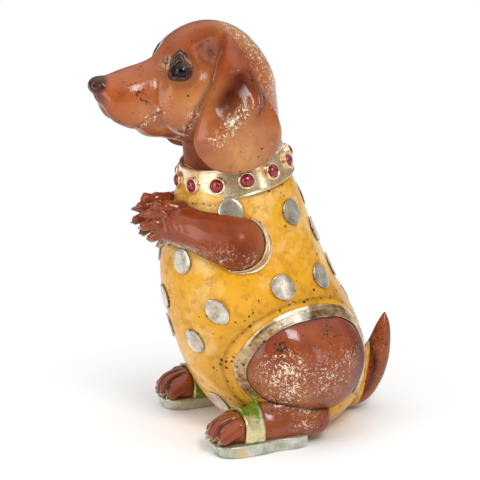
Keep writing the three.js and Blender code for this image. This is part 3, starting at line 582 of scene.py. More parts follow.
# %% Suit surface
COLLAR_Y = -1.5
COLLAR_Z = 142.8
SUIT_STATIONS = np.array([  # height, middle, depth and width
    (GROUND, 23, 19, 22), (5, 24.6, 29.3, 34), (20, 25.4, 44.5, 45), (40, 21, 51, 50.5), (62, 14.7, 52.2, 50),
    (88, 5, 48.2, 46), (114, 0.1, 41.6, 39.5), (COLLAR_Z, COLLAR_Y, 32, 31),
    (COLLAR_Z + 16.5, COLLAR_Y - 2, 25, 25)])


def through(stations, column, at):
    """Cubic through a column of the stations; the slope at each is that between its two neighbours."""
    knots, values = stations[:, 0], stations[:, column]
    slopes = np.gradient(values, knots, edge_order=1)
    slopes[1:-1] = (values[2:] - values[:-2]) / (knots[2:] - knots[:-2])
    i = np.clip(np.searchsorted(knots, at) - 1, 0, len(knots) - 2)
    span = knots[i + 1] - knots[i]
    t = np.clip((at - knots[i]) / span, 0, 1)
    start, end = values[i] * (1 + 2 * t) * (1 - t) ** 2, values[i + 1] * t * t * (3 - 2 * t)
    return start + end + span * (slopes[i] * t * (1 - t) ** 2 - slopes[i + 1] * t * t * (1 - t))


def suit_oval(z):
    """Middle, depth and width of the suit's oval at a height."""
    return [through(SUIT_STATIONS, column, z) for column in (1, 2, 3)]


def suit_point(z, turn, level=0.0):
    """Oval at a height: sine of the turn across, cosine of it forward, with a level added outwards."""
    middle, depth, width = suit_oval(z)
    x = np.sin(turn) * (width + level)
    return np.stack(np.broadcast_arrays(x, middle - np.cos(turn) * (depth + level), z), axis=-1)


def suit_side(y, z, level):
    """How far out the suit's left side lies at a place of the side view."""
    middle, depth, width = suit_oval(z)
    return (width + level) * np.sqrt(np.clip(1 - ((y - middle) / (depth + level)) ** 2, 0, None))


print("suit half width at the belly, mm:", suit_side(21.0, 40.0, 0.0))

# %% [markdown]
# ## The limbs' lumps
# Each limb is described once, as a field, before anything is made. The suit then knows where a limb comes
# out of it, the bindings can follow the edge of the opening, and lacquer can be painted deep where two
# pieces meet.

# %% Limb fields
THIGH_AT, THIGH_RADII = (31.7, 22.8, 48.5), (28.1, 38, 30.1)
THIGH_SQUARENESS, THIGH_TILT = 2.3, np.radians(20)
HIP_FACE = 13
FOOT_X, HOCK_Y, HOCK_RADIUS, HOCK_LIFT, STRAP_Y = 40.5, 28.5, 9.5, 5.5, -10.5
HOCK = (FOOT_X, HOCK_Y, HOCK_RADIUS + HOCK_LIFT)
TOE_ROOTS = (FOOT_X, SOLE_FRONT + 11, SOLE_TOP + 6.5)
TOE_PLACES = np.array([-1.5, -0.5, 0.5, 1.5])
SHOULDER, SHOULDER_RADIUS = (34.2, -14.5, 116.8), 14.7
WRIST, WRIST_RADIUS = (15, -36, 122.8), 11.4
PALM = np.array((7.5, -44, 123.5))
PAW_TOES = [((-3, 6), (-13.5, 7)), ((-4, 0.5), (-14, 0.8)),  # root and tip, as y and z from the palm
            ((-2.5, -4.5), (-9.5, -6)), ((1, -8.5), (-4, -10))]


def boxy_oval(p, at, radii, power, tilt):
    """Oval that is boxier in the side view (its shares are raised to a power and added) and tilted in it."""
    arm = p - np.asarray(at)
    x, y, z = np.moveaxis(arm, -1, 0)
    along, over = y * np.cos(tilt) - z * np.sin(tilt), y * np.sin(tilt) + z * np.cos(tilt)
    side = (np.abs(along / radii[1]) ** power + np.abs(over / radii[2]) ** power) ** (1 / power)
    ratio = np.hypot(x / radii[0], side)
    return np.where(ratio < 1e-6, -min(radii), length(arm) * (1 - 1 / np.maximum(ratio, 1e-6)))


def thigh(p):
    """The haunch: one boxy oval, barely uneven."""
    return boxy_oval(p, THIGH_AT, THIGH_RADII, THIGH_SQUARENESS, THIGH_TILT) + 0.25 * unevenness(p, 30, 3)


def hind_toes(p):
    """Four toes, each a rod that drops from the instep to the sole, and a short claw before it."""
    roots = [(FOOT_X + 5 * k, TOE_ROOTS[1] + 3, TOE_ROOTS[2] + 2.5) for k in TOE_PLACES]
    tips = [(FOOT_X + 6 * k, TOE_ROOTS[1] - 8.6 + k * k, SOLE_TOP + 3.9) for k in TOE_PLACES]
    toes = [rod(p, a, 4.8, b, 3.4) for a, b in zip(roots, tips)]
    claws = [rod(p, b, 1.9, np.add(b, (0, -3.4, -2.2)), 0.9) for b in tips]
    return merged(0.5, *toes), merged(0.5, *claws)


def hind_foot(p):
    """Shank along the ground, calf, instep and toes pressed together."""
    shank = rod(p, HOCK, HOCK_RADIUS, (FOOT_X, STRAP_Y, SOLE_TOP + 4), HOCK_RADIUS)
    calf = ellipsoid(p, (FOOT_X - 3, 12.5, HOCK_LIFT + 2 * HOCK_RADIUS - 1.5), (9.5, 18, 8))
    instep = ellipsoid(p, (FOOT_X, SOLE_FRONT + 13.5, SOLE_TOP + 6.3), (11, 14, 8.2))
    toes, claws = hind_toes(p)
    foot = merged(8, shank, calf, instep) + 0.2 * unevenness(p, 18, 5)
    return merged(0.6, merged(1.4, foot, toes), claws)


def paw_toes(p):
    """Four toes one above another, each bent at its knuckle, the dewclaw on top, and the claws."""
    roots = [PALM + (2.6, y + 5, z) for (y, z), _ in PAW_TOES]
    tips = [PALM + (-1, y, z) for _, (y, z) in PAW_TOES]
    knuckles = [0.45 * a + 0.55 * b + (0.7, 0, 0.9) for a, b in zip(roots, tips)]
    tips = [b + (-0.2, 0, -0.9) for b in tips]
    toes = [merged(0.8, rod(p, a, 3.7, k, 3.5), rod(p, k, 3.5, b, 2.2))
            for a, k, b in zip(roots, knuckles, tips)]
    dewclaw = rod(p, PALM + (2.4, 6, 9.2), 4.2, PALM + (1.2, -7, 11.2), 3.0)
    claws = [rod(p, b, 1.5, b + (-0.3, -2.6, -0.6), 0.5) for b in tips]
    return merged(0.4, *toes, dewclaw), merged(0.4, *claws)


def foreleg(p):
    """Upper arm, wrist, palm and toes pressed together."""
    arm = rod(p, SHOULDER, SHOULDER_RADIUS, WRIST, WRIST_RADIUS)
    palm = ellipsoid(p, PALM, (7, 9.5, 10))
    toes, claws = paw_toes(p)
    return merged(0.6, merged(1.2, merged(8, arm, palm) + 0.25 * unevenness(p, 22, 7), toes), claws)


def out_of_suit(p):
    """How far a point of the left side stands out of the suit."""
    return p[:, 0] - suit_side(p[:, 1], p[:, 2], 0.0)


def fold(values):
    """Values of a grid in the order of its mesh: each pole row keeps one value."""
    return np.concatenate([values[:1, 0], values[1:-1].ravel(), values[-1:, 0]])


def hollows(grid, reach):
    """Where the skin is hollow: the neighbours, a few points away, stand further out than the point."""
    rows = np.arange(len(grid))
    ahead, behind = grid[np.minimum(rows + reach, len(grid) - 1)], grid[np.maximum(rows - reach, 0)]
    before, after = np.roll(grid, reach, axis=1), np.roll(grid, -reach, axis=1)
    normal = np.cross(ahead - behind, after - before)
    normal = normal / np.maximum(length(normal), 1e-9)[..., None]
    sign = np.sign(np.sum(normal * (grid - grid.mean(axis=1, keepdims=True))))
    rise = sign * np.sum(normal * ((ahead + behind + before + after) / 4 - grid), axis=-1)
    spread = np.maximum(length(after - before) + length(ahead - behind), 1e-6)
    return np.clip(10 * rise / spread, 0, 1)


print("thigh at its own middle, mm to its skin:", thigh(np.array([THIGH_AT], float)).round(1))

# %% [markdown]
# ## Making the suit
# Rows go up the torso and columns go round it. The seat is closed with a flat face, as the casting stands
# on it. The grime layer is worked out from the fields: it is high along the bindings, under the collar, round
# the arms and every dot and in the seam of the chest, which is where a wash of dark colour would be left
# after wiping. Behind the haunch it is raised as painted shade.

# %% Suit piece
DOT_RADIUS = 6.8
DOTS = np.array([  # turn in degrees from the breastbone towards the dog's left, and height
    (64, 134), (123, 130), (180, 132), (-123, 130), (-64, 134), (23, 105), (157, 115), (-155, 110),
    (-24, 103), (95, 93), (131, 93.5), (164, 93), (-128, 94), (-92, 95), (-5, 79.5), (47, 80), (180, 74),
    (-162, 88), (-48, 80), (22, 59.5), (-14, 60), (-40, 58), (180, 48), (19, 20.5)], float)
LEG_BINDING_WIDTH = 6.0
SUIT_SEAM = np.array([(30, -28, 145), (30, -29.7, 129)], float)
COLLAR_TILT = np.radians(12)


def above_collar_edge(p):
    """Height over the plane of the collar's lower edge, which is higher at the nape."""
    return (p[..., 2] - COLLAR_Z) * np.cos(COLLAR_TILT) - (p[..., 1] - COLLAR_Y) * np.sin(COLLAR_TILT)


def both_sides(p):
    """The same points, all brought to the dog's left side."""
    return np.concatenate([np.abs(p[..., :1]), p[..., 1:]], axis=-1)


def suit_wash_and_shade(p):
    """Dark wash by the bindings, collar, arms and dots and in the seam; painted shade behind the haunch."""
    q = both_sides(p)
    leg, arm = thigh(q), foreleg(q)
    centres = suit_point(DOTS[:, 1], np.radians(DOTS[:, 0]))
    to_dot = np.min(length(p[:, None] - centres), axis=1)
    # Painted shade: the suit is darkened behind the haunch, where it turns away from the light.
    shade_behind_haunch = ramp(p[:, 1], 57, 63) * ramp(p[:, 2], 54, 44) * bell(np.maximum(leg, 0), 8)
    past_binding = leg - LEG_BINDING_WIDTH
    lines = [bell(past_binding - 0.8, 1.0), 0.35 * bell(past_binding - 3, 4), 0.7 * bell(arm - 0.6, 1.2),
             0.8 * bell(to_dot - DOT_RADIUS, 0.7), 0.8 * bell(above_collar_edge(p) + 0.6, 1.0),
             0.9 * bell(distance_to_line(p, SUIT_SEAM), 0.8), 0.7 * shade_behind_haunch]
    return np.max(lines, axis=0)


def suit_grid(rows=170, columns=260):
    """Flat seat, then the ovals from the ground to the neck."""
    heights = np.concatenate([np.full(8, GROUND), np.linspace(GROUND, COLLAR_Z + 14, rows)])
    grid = suit_point(heights[:, None], turns(columns)[None])
    swell = 0.25 * unevenness(grid, 34, 11)[..., None] * (grid - grid.mean(axis=1, keepdims=True)) / 40
    share = np.concatenate([np.linspace(0, 1, 8, endpoint=False), np.ones(rows)])[:, None, None]
    seat = np.array([0, SUIT_STATIONS[0, 1], GROUND])
    grid = seat + share * (grid - seat)
    grid = grid + swell * ramp(grid[..., 2:], GROUND, GROUND + 20)
    return np.concatenate([grid, end_caps(grid)[1]])


suit_shell = tube_mesh(suit_grid())
suit_layers = {"grime": suit_wash_and_shade(suit_shell[0])}
make_piece("suit", [suit_shell], SUIT_PAINT, ["torso_casting"], suit_layers)

# %% [markdown]
# ## Silver dots
# The dots are raised discs of silver leaf. Each is a pillow: a superellipse section turned about the middle
# of the dot and laid on the suit's own formula, so it hugs the curve of the body. The edges wander a
# little, as hand-laid discs do.

# %% Dots
GLUE_GAP = 0.3


def superellipse(steps, power):
    """Closed rounded-box outline: cosine and sine with their size raised to two over the power."""
    angle = turns(steps)
    c, s = np.cos(angle), np.sin(angle)
    return np.sign(c) * np.abs(c) ** (2 / power), np.sign(s) * np.abs(s) ** (2 / power)


def dot_shell(turn, height, seed, rows=18, columns=56, thickness=1.0):
    """Half a superellipse from the underside's middle to the top's, turned about the dot's axis."""
    rise = np.linspace(-np.pi / 2, np.pi / 2, rows)
    radius = (DOT_RADIUS * np.abs(np.cos(rise)) ** 0.35)[:, None]
    level = GLUE_GAP + thickness / 2 * (1 + np.sign(np.sin(rise)) * np.abs(np.sin(rise)) ** 0.5)[:, None]
    angle = turns(columns)[None]
    phase = np.random.default_rng(seed).uniform(0, TAU, 2)
    radius = radius * (1 + 0.02 * np.sin(2 * angle + phase[0]) + 0.012 * np.sin(5 * angle + phase[1]))
    across = radius * np.cos(angle) / suit_oval(height)[1]
    upward = radius * np.sin(angle)
    return tube_mesh(suit_point(height + upward, np.radians(turn) + across, level + 0 * radius))


for number, (turn, height) in enumerate(DOTS, 1):
    shell = dot_shell(turn, height, number)
    middle = suit_point(height, np.radians(turn), GLUE_GAP)
    rim = bell(length(shell[0] - middle) - DOT_RADIUS, 0.5)
    make_piece(f"dot_{number:02d}", [shell], SILVER_LEAF, [f"spot_{number:02d}"],
               {"grime": 0.5 * rim})

# %% [markdown]
# ## Hind legs
# Two shells make a leg: the haunch, walked out from the hip, and the shank with its foot, walked out from a
# core along the ground. They cross in a sharp crease, as two lumps of clay would. The lacquer is painted dark
# in that crease, beside the binding, between the toes and down the haunch's rear as painted shade, and most
# of the gold flake floats on the haunch.

# %% Leg pieces
def toe_gaps(p):
    """Depth of the three grooves between the toes, which fan out forwards."""
    x, y, _ = np.moveaxis(p, -1, 0)
    fan = 5 + ramp(y, TOE_ROOTS[1] + 3, TOE_ROOTS[1] - 8)
    gaps = sum(bell(x - FOOT_X - fan * k, 0.9) for k in (-1, 0, 1))
    return 1.3 * gaps * ramp(y, TOE_ROOTS[1] + 5, TOE_ROOTS[1] - 1)


def leg_shells():
    """Haunch from the hip outwards, and the foot from the hock forwards."""
    hip = straight_core((HIP_FACE, *THIGH_AT[1:]), THIGH_AT, 10, round_end=70)
    haunch = walked_grid(thigh, hip, 200)
    ground = straight_core(HOCK, TOE_ROOTS, 90, round_start=30, round_end=80)
    foot = walked_grid(hind_foot, ground, 240, toe_gaps)
    foot[..., 2] = np.maximum(foot[..., 2], GROUND + 0.3)
    return haunch, foot


HAUNCH_FLAKE = [(1, 5, 47, 11), (0.9, 9, 35, 10), (0.55, 29, 44, 13), (0.55, 19, 17, 8), (0.35, 42, 52, 10)]
HAUNCH_SOOT = [(1, 3, 62, 5), (0.75, 31, 67, 7)]


def leg_paint(haunch, foot):
    """Flake in drifts on the haunch, painted shade in creases, joins, toe gaps and down its rear, gilded
    claws.
    """
    points = np.concatenate([tube_mesh(haunch)[0], tube_mesh(foot)[0]])
    on_haunch = np.arange(len(points)) < len(tube_mesh(haunch)[0])
    to_other = np.where(on_haunch, hind_foot(points), thigh(points))
    creases = np.concatenate([fold(hollows(haunch, 3)), fold(hollows(foot, 3))])
    seam = np.where(on_haunch, bell(out_of_suit(points), 2.0), 0)
    low = np.where(on_haunch, ramp(points[:, 2], 40, 15), 0)
    rear = np.where(on_haunch, ramp(points[:, 1], 44, 54), 0)
    gaps = np.where(on_haunch, 0, toe_gaps(points))
    claws = bell(np.maximum(hind_toes(points)[1], 0), 0.7)
    # Besides the dark claws, `deep` here is painted shade: where the haunch and foot meet, at the suit, in
    # the creases, between the toes and down the haunch's rear, which turns away from the light.
    deep = [0.75 * bell(np.maximum(to_other, 0), 1.3), 0.8 * seam, creases, 0.8 * claws, 0.9 * gaps,
            0.6 * rear]
    return {"deep": np.max(deep, axis=0), "flake": bells(points, HAUNCH_FLAKE), "amber": 0.15,
            "soot": bells(points, HAUNCH_SOOT), "gilt": 0.7 * claws,
            "dull": np.maximum(0.6 * low, 0.95 * rear),
            "tan": 0.5 * side_bell(points, -8, 35, 12) + 0.35 * side_bell(points, 20, 30, 12)}


haunch, foot = leg_shells()
make_pair("leg", [tube_mesh(haunch), tube_mesh(foot)], LACQUER, "hind_leg",
          leg_paint(haunch, foot))

# %% [markdown]
# ## Forelegs
# The paws are pressed together before the chest. One core runs from the shoulder to the palm, and the rays
# from its round end draw the four toes and the dewclaw. Gold leaf is rubbed into the underside of the paw.

# %% Foreleg pieces
def paw_creases(p):
    """Depth of the creases across the toes, and of a slow ripple from the wrist up the arm."""
    y, z = p[..., 1], p[..., 2]
    toes = ramp(y, PALM[1] + 2, PALM[1] - 2)
    arm = ramp(y, SHOULDER[1] - 2, SHOULDER[1] - 10) * (1 - toes)
    return 0.45 * toes * np.sin(TAU * (y + 0.5 * z) / 6.5) + 0.3 * arm * unevenness(p, 8, 11)


ARM_FLAKE = [(0.45, -12, 108, 7), (0.35, -26, 112, 8), (0.35, -3, 124, 5)]


def foreleg_paint(grid):
    """Painted shade between toes and at the shoulder seam, dark claws, gilt under the paw, flake at the
    elbow.
    """
    points = tube_mesh(grid)[0]
    under_paw = ramp(points[:, 2], PALM[2] - 6, PALM[2] - 9) * bell(points[:, 1] + 46, 12)
    claws = bell(np.maximum(paw_toes(points)[1], 0), 0.6)
    # Besides the dark claws, `deep` here is painted shade in the hollows between the toes and at the shoulder
    # seam.
    deep = [fold(hollows(grid, 3)), 0.7 * bell(out_of_suit(points), 1.6), 0.8 * claws,
            0.35 * side_bell(points, -18, 117, 9)]
    return {"deep": np.max(deep, axis=0), "flake": np.maximum(bells(points, ARM_FLAKE), 0.5 * under_paw),
            "tan": 0.3 * side_bell(points, -4, 122, 9), "gilt": np.maximum(0.6 * under_paw, 0.5 * claws),
            "dull": 0.85 * ramp(points[:, 1], -37, -29), "amber": 0.1}


arm_core = straight_core(SHOULDER, PALM, 110, round_start=40, round_end=90)
arm_grid = walked_grid(foreleg, arm_core, 220, paw_creases)
arm_grid[..., 0] = np.maximum(arm_grid[..., 0], GLUE_GAP / 2)
make_pair("arm", [tube_mesh(arm_grid)], LACQUER, "foreleg", foreleg_paint(arm_grid))

# %% [markdown]
# ## Tail
# A tapering tube is carried along a curve that lies back on the ground and then sweeps up to a point.

# %% Tail piece
TAIL_Z = 15
TAIL_ROOT_RADIUS, TAIL_TIP_RADIUS = 10.5, 0.8
SUIT_BACK = float(sum(suit_oval(TAIL_Z)[:2]))
TAIL_LINE = np.array([(-6, 0), (4.5, -0.5), (11.5, 6), (16.5, 15), (19.7, 23.5), (22, 34), (22.8, 41)])


def tail_grid(columns=64, grown=0.0):
    """Circles square to the curve, whose radius shrinks with a power of the share, and a round nose."""
    line = smooth_line(TAIL_LINE + (SUIT_BACK, TAIL_Z), 20)
    share = np.linspace(0, 1, len(line))[:, None]
    along = np.gradient(line, axis=0)
    along = along / length(along)[:, None]
    radius = TAIL_ROOT_RADIUS - (TAIL_ROOT_RADIUS - TAIL_TIP_RADIUS) * share ** 2.2 + grown
    angle = turns(columns)[None]
    across, outward = radius * np.sin(angle), radius * np.cos(angle)
    y = line[:, :1] - outward * along[:, 1:]
    z = line[:, 1:] + outward * along[:, :1]
    grid = np.stack([across, y, np.maximum(z, GROUND)], axis=-1)
    nose = grid[-1].mean(axis=0) + (0, *(TAIL_TIP_RADIUS * along[-1]))
    caps = [np.broadcast_to(end, (1, columns, 3)) for end in (grid[0].mean(axis=0), nose)]
    return np.concatenate([caps[0], grid, caps[1]])


tail_shell = tube_mesh(tail_grid())
tail_gap = tail_shell[0][:, 1] - sum(suit_oval(tail_shell[0][:, 2])[:2])
tail_layers = {"deep": 0.8 * bell(tail_gap - 7, 2), "flake": 0.12 * bell(tail_gap - 10, 6),
               "tan": 0.2 * bell(tail_gap - 20, 8), "amber": 0.1, "dull": 0.4}
make_piece("tail_sweep", [tail_shell], LACQUER, ["tail"], tail_layers)


def sleeve_grid(rows=30):
    """The root of the tail again, 0.4 mm larger: each column of points stops at a slanting cut."""
    grid = tail_grid(columns=96, grown=0.4)[1:-1]
    past = grid[..., 1] - SUIT_BACK - 5.5 - 0.3 * (grid[..., 2] - TAIL_Z)
    last = np.argmax(past > 0, axis=0)
    columns = np.arange(grid.shape[1])
    before, after = past[last - 1, columns], past[last, columns]
    end = last - after / (after - before)
    place = np.linspace(0, 1, rows)[:, None] * end
    row, share = place.astype(int), (place % 1)[..., None]
    cut = grid[row, columns] * (1 - share) + grid[np.minimum(row + 1, len(grid) - 1), columns] * share
    return capped(cut)


sleeve = sleeve_grid()
sleeve_edge = np.zeros(sleeve.shape[:2])
sleeve_edge[-4:-1] = [[0.2], [0.6], [1]]
make_piece("tail_sleeve", [tube_mesh(sleeve)], SUIT_PAINT, (), {"grime": fold(sleeve_edge)})

# %% [markdown]
# ## Head
# The face is skull, neck, bridge, flews, jaw and cheeks pressed together, with the nose pad on the end. The
# core of the rays bends from the neck into the muzzle, so that rings stay square to both. The modeller's
# tool marks come last: the line of the mouth, the folds at its corner, the furrow of the cheek, the brow
# and the nostrils are carved into the skin as bell-shaped grooves and ridges along lines of the side view.

# %% Head field
HEAD_AT = np.array([0, COLLAR_Y, COLLAR_Z])
NOSE = (0, -78, 58.8)
EYE_AT = node_middle("left_eye") - HEAD_AT
EYE_RADIUS = 5.4
EYE_TURN, EYE_LIFT = np.radians(38.3), np.radians(18)
EYE_SIDE, EYE_UP, EYE_OUT = axes(EYE_TURN, EYE_LIFT)


def nose_pad(p):
    """The nose: a small ellipsoid on the end of the bridge."""
    return ellipsoid(p, NOSE, (6.5, 6, 5))


def head_field(p):
    """Lumps of the head pressed together over 9 mm, then the nose over 2.5 mm."""
    q = both_sides(p)
    neck = rod(p, (0, 0, -10), 27.3, (0, -5, 50), 26.3)
    bridge = rod(p, (0, -40, 59.3), 13.2, (0, -73, 55.8), 8)
    jaw = rod(p, (0, -27, 37.5), 13, (0, -49.2, 38.7), 10)
    skull = ellipsoid(p, (0, -16.9, 58), (26.5, 32.4, 31.5))
    flews = ellipsoid(q, (6, -59.2, 49.2), (9, 17.2, 14))
    cheeks = ellipsoid(q, (14, -29, 50), (12, 20, 19))
    return merged(2.5, merged(9, skull, neck, bridge, flews, jaw, cheeks), nose_pad(p))


def head_core():
    """Rings up the neck, round a bend about a point before the throat, along the muzzle and over its end."""
    neck = straight_core((0, 0, -8), (0, 0, 17), 18, up=(0, 1, 0))
    angle = np.linspace(0, np.pi / 2, 96)
    zero = np.zeros_like(angle)
    up = np.stack([zero, np.cos(angle), np.sin(angle)], axis=-1)
    forward = np.stack([zero, -np.sin(angle), np.cos(angle)], axis=-1)
    reach = 46 - 10 * angle / (np.pi / 2) + 8 * np.sin(2 * angle)
    bend = ((0, -46, 18) + reach[:, None] * up, forward, up, zero)
    muzzle = straight_core((0, -47, 54), (0, -67, 54), 28, round_end=60)
    return [np.concatenate(part) for part in zip(neck, bend, muzzle)]


print("eye in the head's own frame, mm:", EYE_AT.round(1))

# %% Carving of the face
MOUTH = [(-48.9, 45.3), (-54.6, 41.4), (-60.5, 37.8), (-67, 37.1), (-76, 40)]
JAW_FOLD = [(-47.5, 44.5), (-45.5, 43), (-42.5, 39.3), (-42.5, 35.9), (-43.1, 33), (-44.1, 29)]
CHEEK_FURROW = [(-48.8, 63.8), (-48.2, 56), (-45.7, 47.5)]
BROW = [(-42, 72), (-37, 77), (-31.5, 80), (-25, 83.5), (-17, 85), (-10, 84)]
EAR_FRONT = [(-12, 84), (-18.5, 71), (-25.6, 58), (-31.8, 46), (-35.6, 35)]
STOP = (8, -44, 74)  # the dip between the forehead and the bridge of the nose


def face_carving(p):
    """Depth of the tool marks: grooves sink the skin, ridges lift it."""
    q = both_sides(p)
    to_eye = length(q - EYE_AT)
    beside_eye = length(np.cross(q - EYE_AT, EYE_OUT))
    nostril = length((q - (5.2, -81.5, 60)) / (1.5, 2.4, 1.3))
    lip_cleft = bell(q[..., 0], 0.9) * ramp(q[..., 1], -72, -75) * bell(q[..., 2] - 50, 6)
    grooves = (0.4 * side_line(q, MOUTH, 0.9) + 0.4 * side_line(q, JAW_FOLD, 1.8)
               + 0.6 * side_line(q, CHEEK_FURROW, 2.6) + 2.8 * side_bell(q, -23.5, 74.5, 8)
               + 0.6 * bell(to_eye - 8.5, 1.8) + 3.6 * bell(beside_eye, 5.5) * bell(to_eye, 9)
               + 2.2 * bell(length(q - STOP), 5.5)
               + 1.5 * bell(nostril, 1) + 1.0 * lip_cleft + 0.9 * side_line(q, EAR_FRONT, 1.8))
    ridges = (1.5 * side_line(q, BROW, 2.4) + 1.2 * bell(length(q - (18.9, -43.7, 61.2)), 5)
              + 0.8 * side_bell(q, -47, 34.5, 5) + 0.7 * side_bell(q, -51, 47.5, 2.5))
    return grooves - ridges


head_grid = walked_grid(head_field, head_core(), 240, face_carving)
print("head grid:", head_grid.shape[:2])

# %% [markdown]
# The coat of the head is painted after carving: dark on the nose; dark as painted shade in every hollow,
# under the jaw, round the eyes, in the temple, along the front of the muzzle and as the ear's shadow before
# it; wiped to tan on the cheek and the lip, lightened as painted light down the nape and on the jaw bulge,
# gilded at the inner corner of the eye, and flaked down the nape.

# %% Head piece
LIP = [(-80, 54), (-79, 47), (-74.5, 40.5), (-67, 36.5)]
NAPE = [(-6, 90), (12, 74), (18, 50)]
HEAD_FLAKE = [(0.7, [(-2, 86), (8, 74), (14, 60)], 9), (0.55, MOUTH[:3], 4),
              (0.5, [(-34, 46), (-36, 38), (-36, 30)], 4)]
MUZZLE_SOOT = [(-68, 61.5), (-62, 58), (-57.5, 52.5)]
FACE_SOOT = [(0.5, -49, 45, 4), (0.4, -24, 72, 8)]
FACE_TAN = [(0.8, -33, 52, 15), (0.5, -58, 45, 8)]
FACE_DULL = [(1.4, -22, 77, 13), (0.9, -36, 56, 9)]
FACE_AMBER = [(0.5, -62, 55, 18), (0.1, -25, 76, 12)]
EYE_CORNER = (11.1, -44.2, 71)


def head_paint(grid):
    """Layers of lacquer for every point of the head."""
    q = both_sides(tube_mesh(grid)[0])
    to_eye = length(q - EYE_AT)
    flank = ramp(q[:, 0], 5, 11)
    throat = ramp(q[:, 2], 30, 22)
    under_jaw = ramp(q[:, 2], 37, 29) * ramp(q[:, 1], -30, -38)
    # Apart from the dark nose, `deep` here is painted shade: in the hollows and the throat, under the jaw,
    # round and beside the eye, in the temple, along the front edge of the muzzle, and in front of the ear,
    # where the ear casts its shadow.
    deep = [0.95 * bell(np.maximum(nose_pad(q), 0), 0.9), 0.6 * fold(hollows(grid, 3)), 0.4 * throat,
            0.75 * side_line(q, LIP, 2.4), 0.4 * bell(to_eye - 9, 2.4), 0.2 * under_jaw,
            0.95 * bell(np.maximum(to_eye - 6.5, 0), 1), 0.5 * side_bell(q, -22, 76, 10) * flank,
            0.55 * side_line(q, EAR_FRONT, 2.0) * flank]
    # Tan down the nape and on the jaw bulge is painted light; on the cheek and the lip it is the lacquer's
    # own tone.
    tan = [bells(q, FACE_TAN) * flank, 0.95 * side_line(q, NAPE, 8), 0.6 * side_bell(q, -46, 34.5, 5)]
    soot = np.maximum(0.72 * side_line(q, MUZZLE_SOOT, 4.5), bells(q, FACE_SOOT))
    return {"amber": 0.35 + bells(q, FACE_AMBER), "deep": np.max(deep, axis=0), "tan": np.max(tan, axis=0),
            "flake": strokes(q, HEAD_FLAKE), "soot": flank * soot,
            "dull": 1.3 * np.maximum(bells(q, FACE_DULL) * flank, throat),
            "gilt": 0.9 * bell(length(q - EYE_CORNER), 3.2)}


def at_head(shell):
    """A shell that was made in the head's own frame, moved to the collar."""
    points, quads, triangles = shell
    return points + HEAD_AT, quads, triangles


make_piece("head", [at_head(tube_mesh(head_grid))], LACQUER, ["head_casting"],
           head_paint(head_grid))

# %% [markdown]
# ## Ears
# An ear is a pillow over an outline drawn on the side of the head. The outer face is a height field: a
# swelling lobe, a hollow behind the front edge with a knuckle over it, and a rolled rear edge. The inner
# face is hidden against the neck.

# %% Ear pieces
EAR_OUTLINE = [(-10, 84), (-16.5, 71), (-23.6, 58), (-29.8, 46), (-33.6, 35), (-34, 28), (-31.5, 21.5),
               (-25.5, 15.5), (-15.8, 12.5), (-5, 13.2), (6, 17.5), (13.5, 23.5), (15.5, 32.5), (11.5, 44.5),
               (3, 57), (-4, 74)]
EAR_KNUCKLE = [(-12, 67), (-7.4, 67.5), (-3.4, 64.5), (-0.8, 58.8), (0.6, 53.3), (0.4, 49)]
EAR_CREASE = [(-1, 66), (3.4, 56), (3.6, 51.8), (0.4, 45)]
EAR_BED = np.array([(12.5, 33.5), (27.5, 31), (44, 29), (68, 24.5), (84, 14.5)])


def ear_relief(p):
    """Height of the outer face over the plain pillow: hollow, knuckle, lobe, rear roll and a crease."""
    return (-3.4 * side_line(p, [(-9, 61), (-13, 56), (-16, 50)], 7.5)
            + 3.2 * side_line(p, EAR_KNUCKLE, 2.8)
            + 1.7 * side_line(p, [(-9, 46), (-16, 41), (-24, 33)], 6.5)
            + 1.5 * side_line(p, [(7, 52), (11, 44), (12.5, 34), (9, 25)], 3.6)
            - 0.9 * side_line(p, EAR_CREASE, 1.8))


def ear_grid(rows=60, columns=220):
    """Rings from the middle of the outer face to the edge, and back to the middle behind."""
    outline = smooth_line(EAR_OUTLINE, 40, closed=True)
    outline = outline[np.linspace(0, len(outline), columns, endpoint=False).astype(int)]
    t = np.linspace(0, 1, rows)
    share = np.concatenate([np.sin(np.pi / 2 * t), np.sin(np.pi / 2 * t[:-1])[::-1]])[:, None]
    front = np.concatenate([np.ones(rows), -0.3 * np.ones(rows - 1)])[:, None]
    core = np.array((-11, 42))
    flat = core + share[..., None] * (outline - core)
    y, z = flat[..., 0], flat[..., 1]
    bed = through(EAR_BED, 1, z) * np.sqrt(np.maximum(1 - ((y + 8) / 50) ** 2, 0.05))
    grid = np.stack([bed, y, z], axis=-1)
    relief = np.where(front > 0, ear_relief(grid) * (1 - share ** 8), 0)
    rim = np.where(front > 0, 0.2 * bell(share - 0.95, 0.035), 0)
    grid[..., 0] += 6 * front * np.sqrt(np.maximum(1 - share ** 2.5, 0)) + relief + rim
    return grid


# The strokes of deep are painted shade in the hollow, the crease and round the knuckle; the first stroke of
# flake, down the lobe's ridge, is laid thick as a painted sheen.
EAR_DEEP = [(0.85, [(-9, 60), (-13, 56), (-17, 50)], 7.5), (0.8, EAR_CREASE, 1.4), (0.35, EAR_KNUCKLE, 3)]
EAR_FLAKE = [(0.55, [(-7, 48), (-13, 43), (-19, 37), (-24, 31)], 4.5), (0.5, [(6, 56), (12, 46)], 4)]
EAR_DULL = [(1, [(-10, 62), (-14, 56), (-17, 50)], 7), (1, [(-16, 70), (-28, 46)], 4)]
EAR_TAN = [(1, -8, 24, 19), (0.6, 8, 32, 9)]


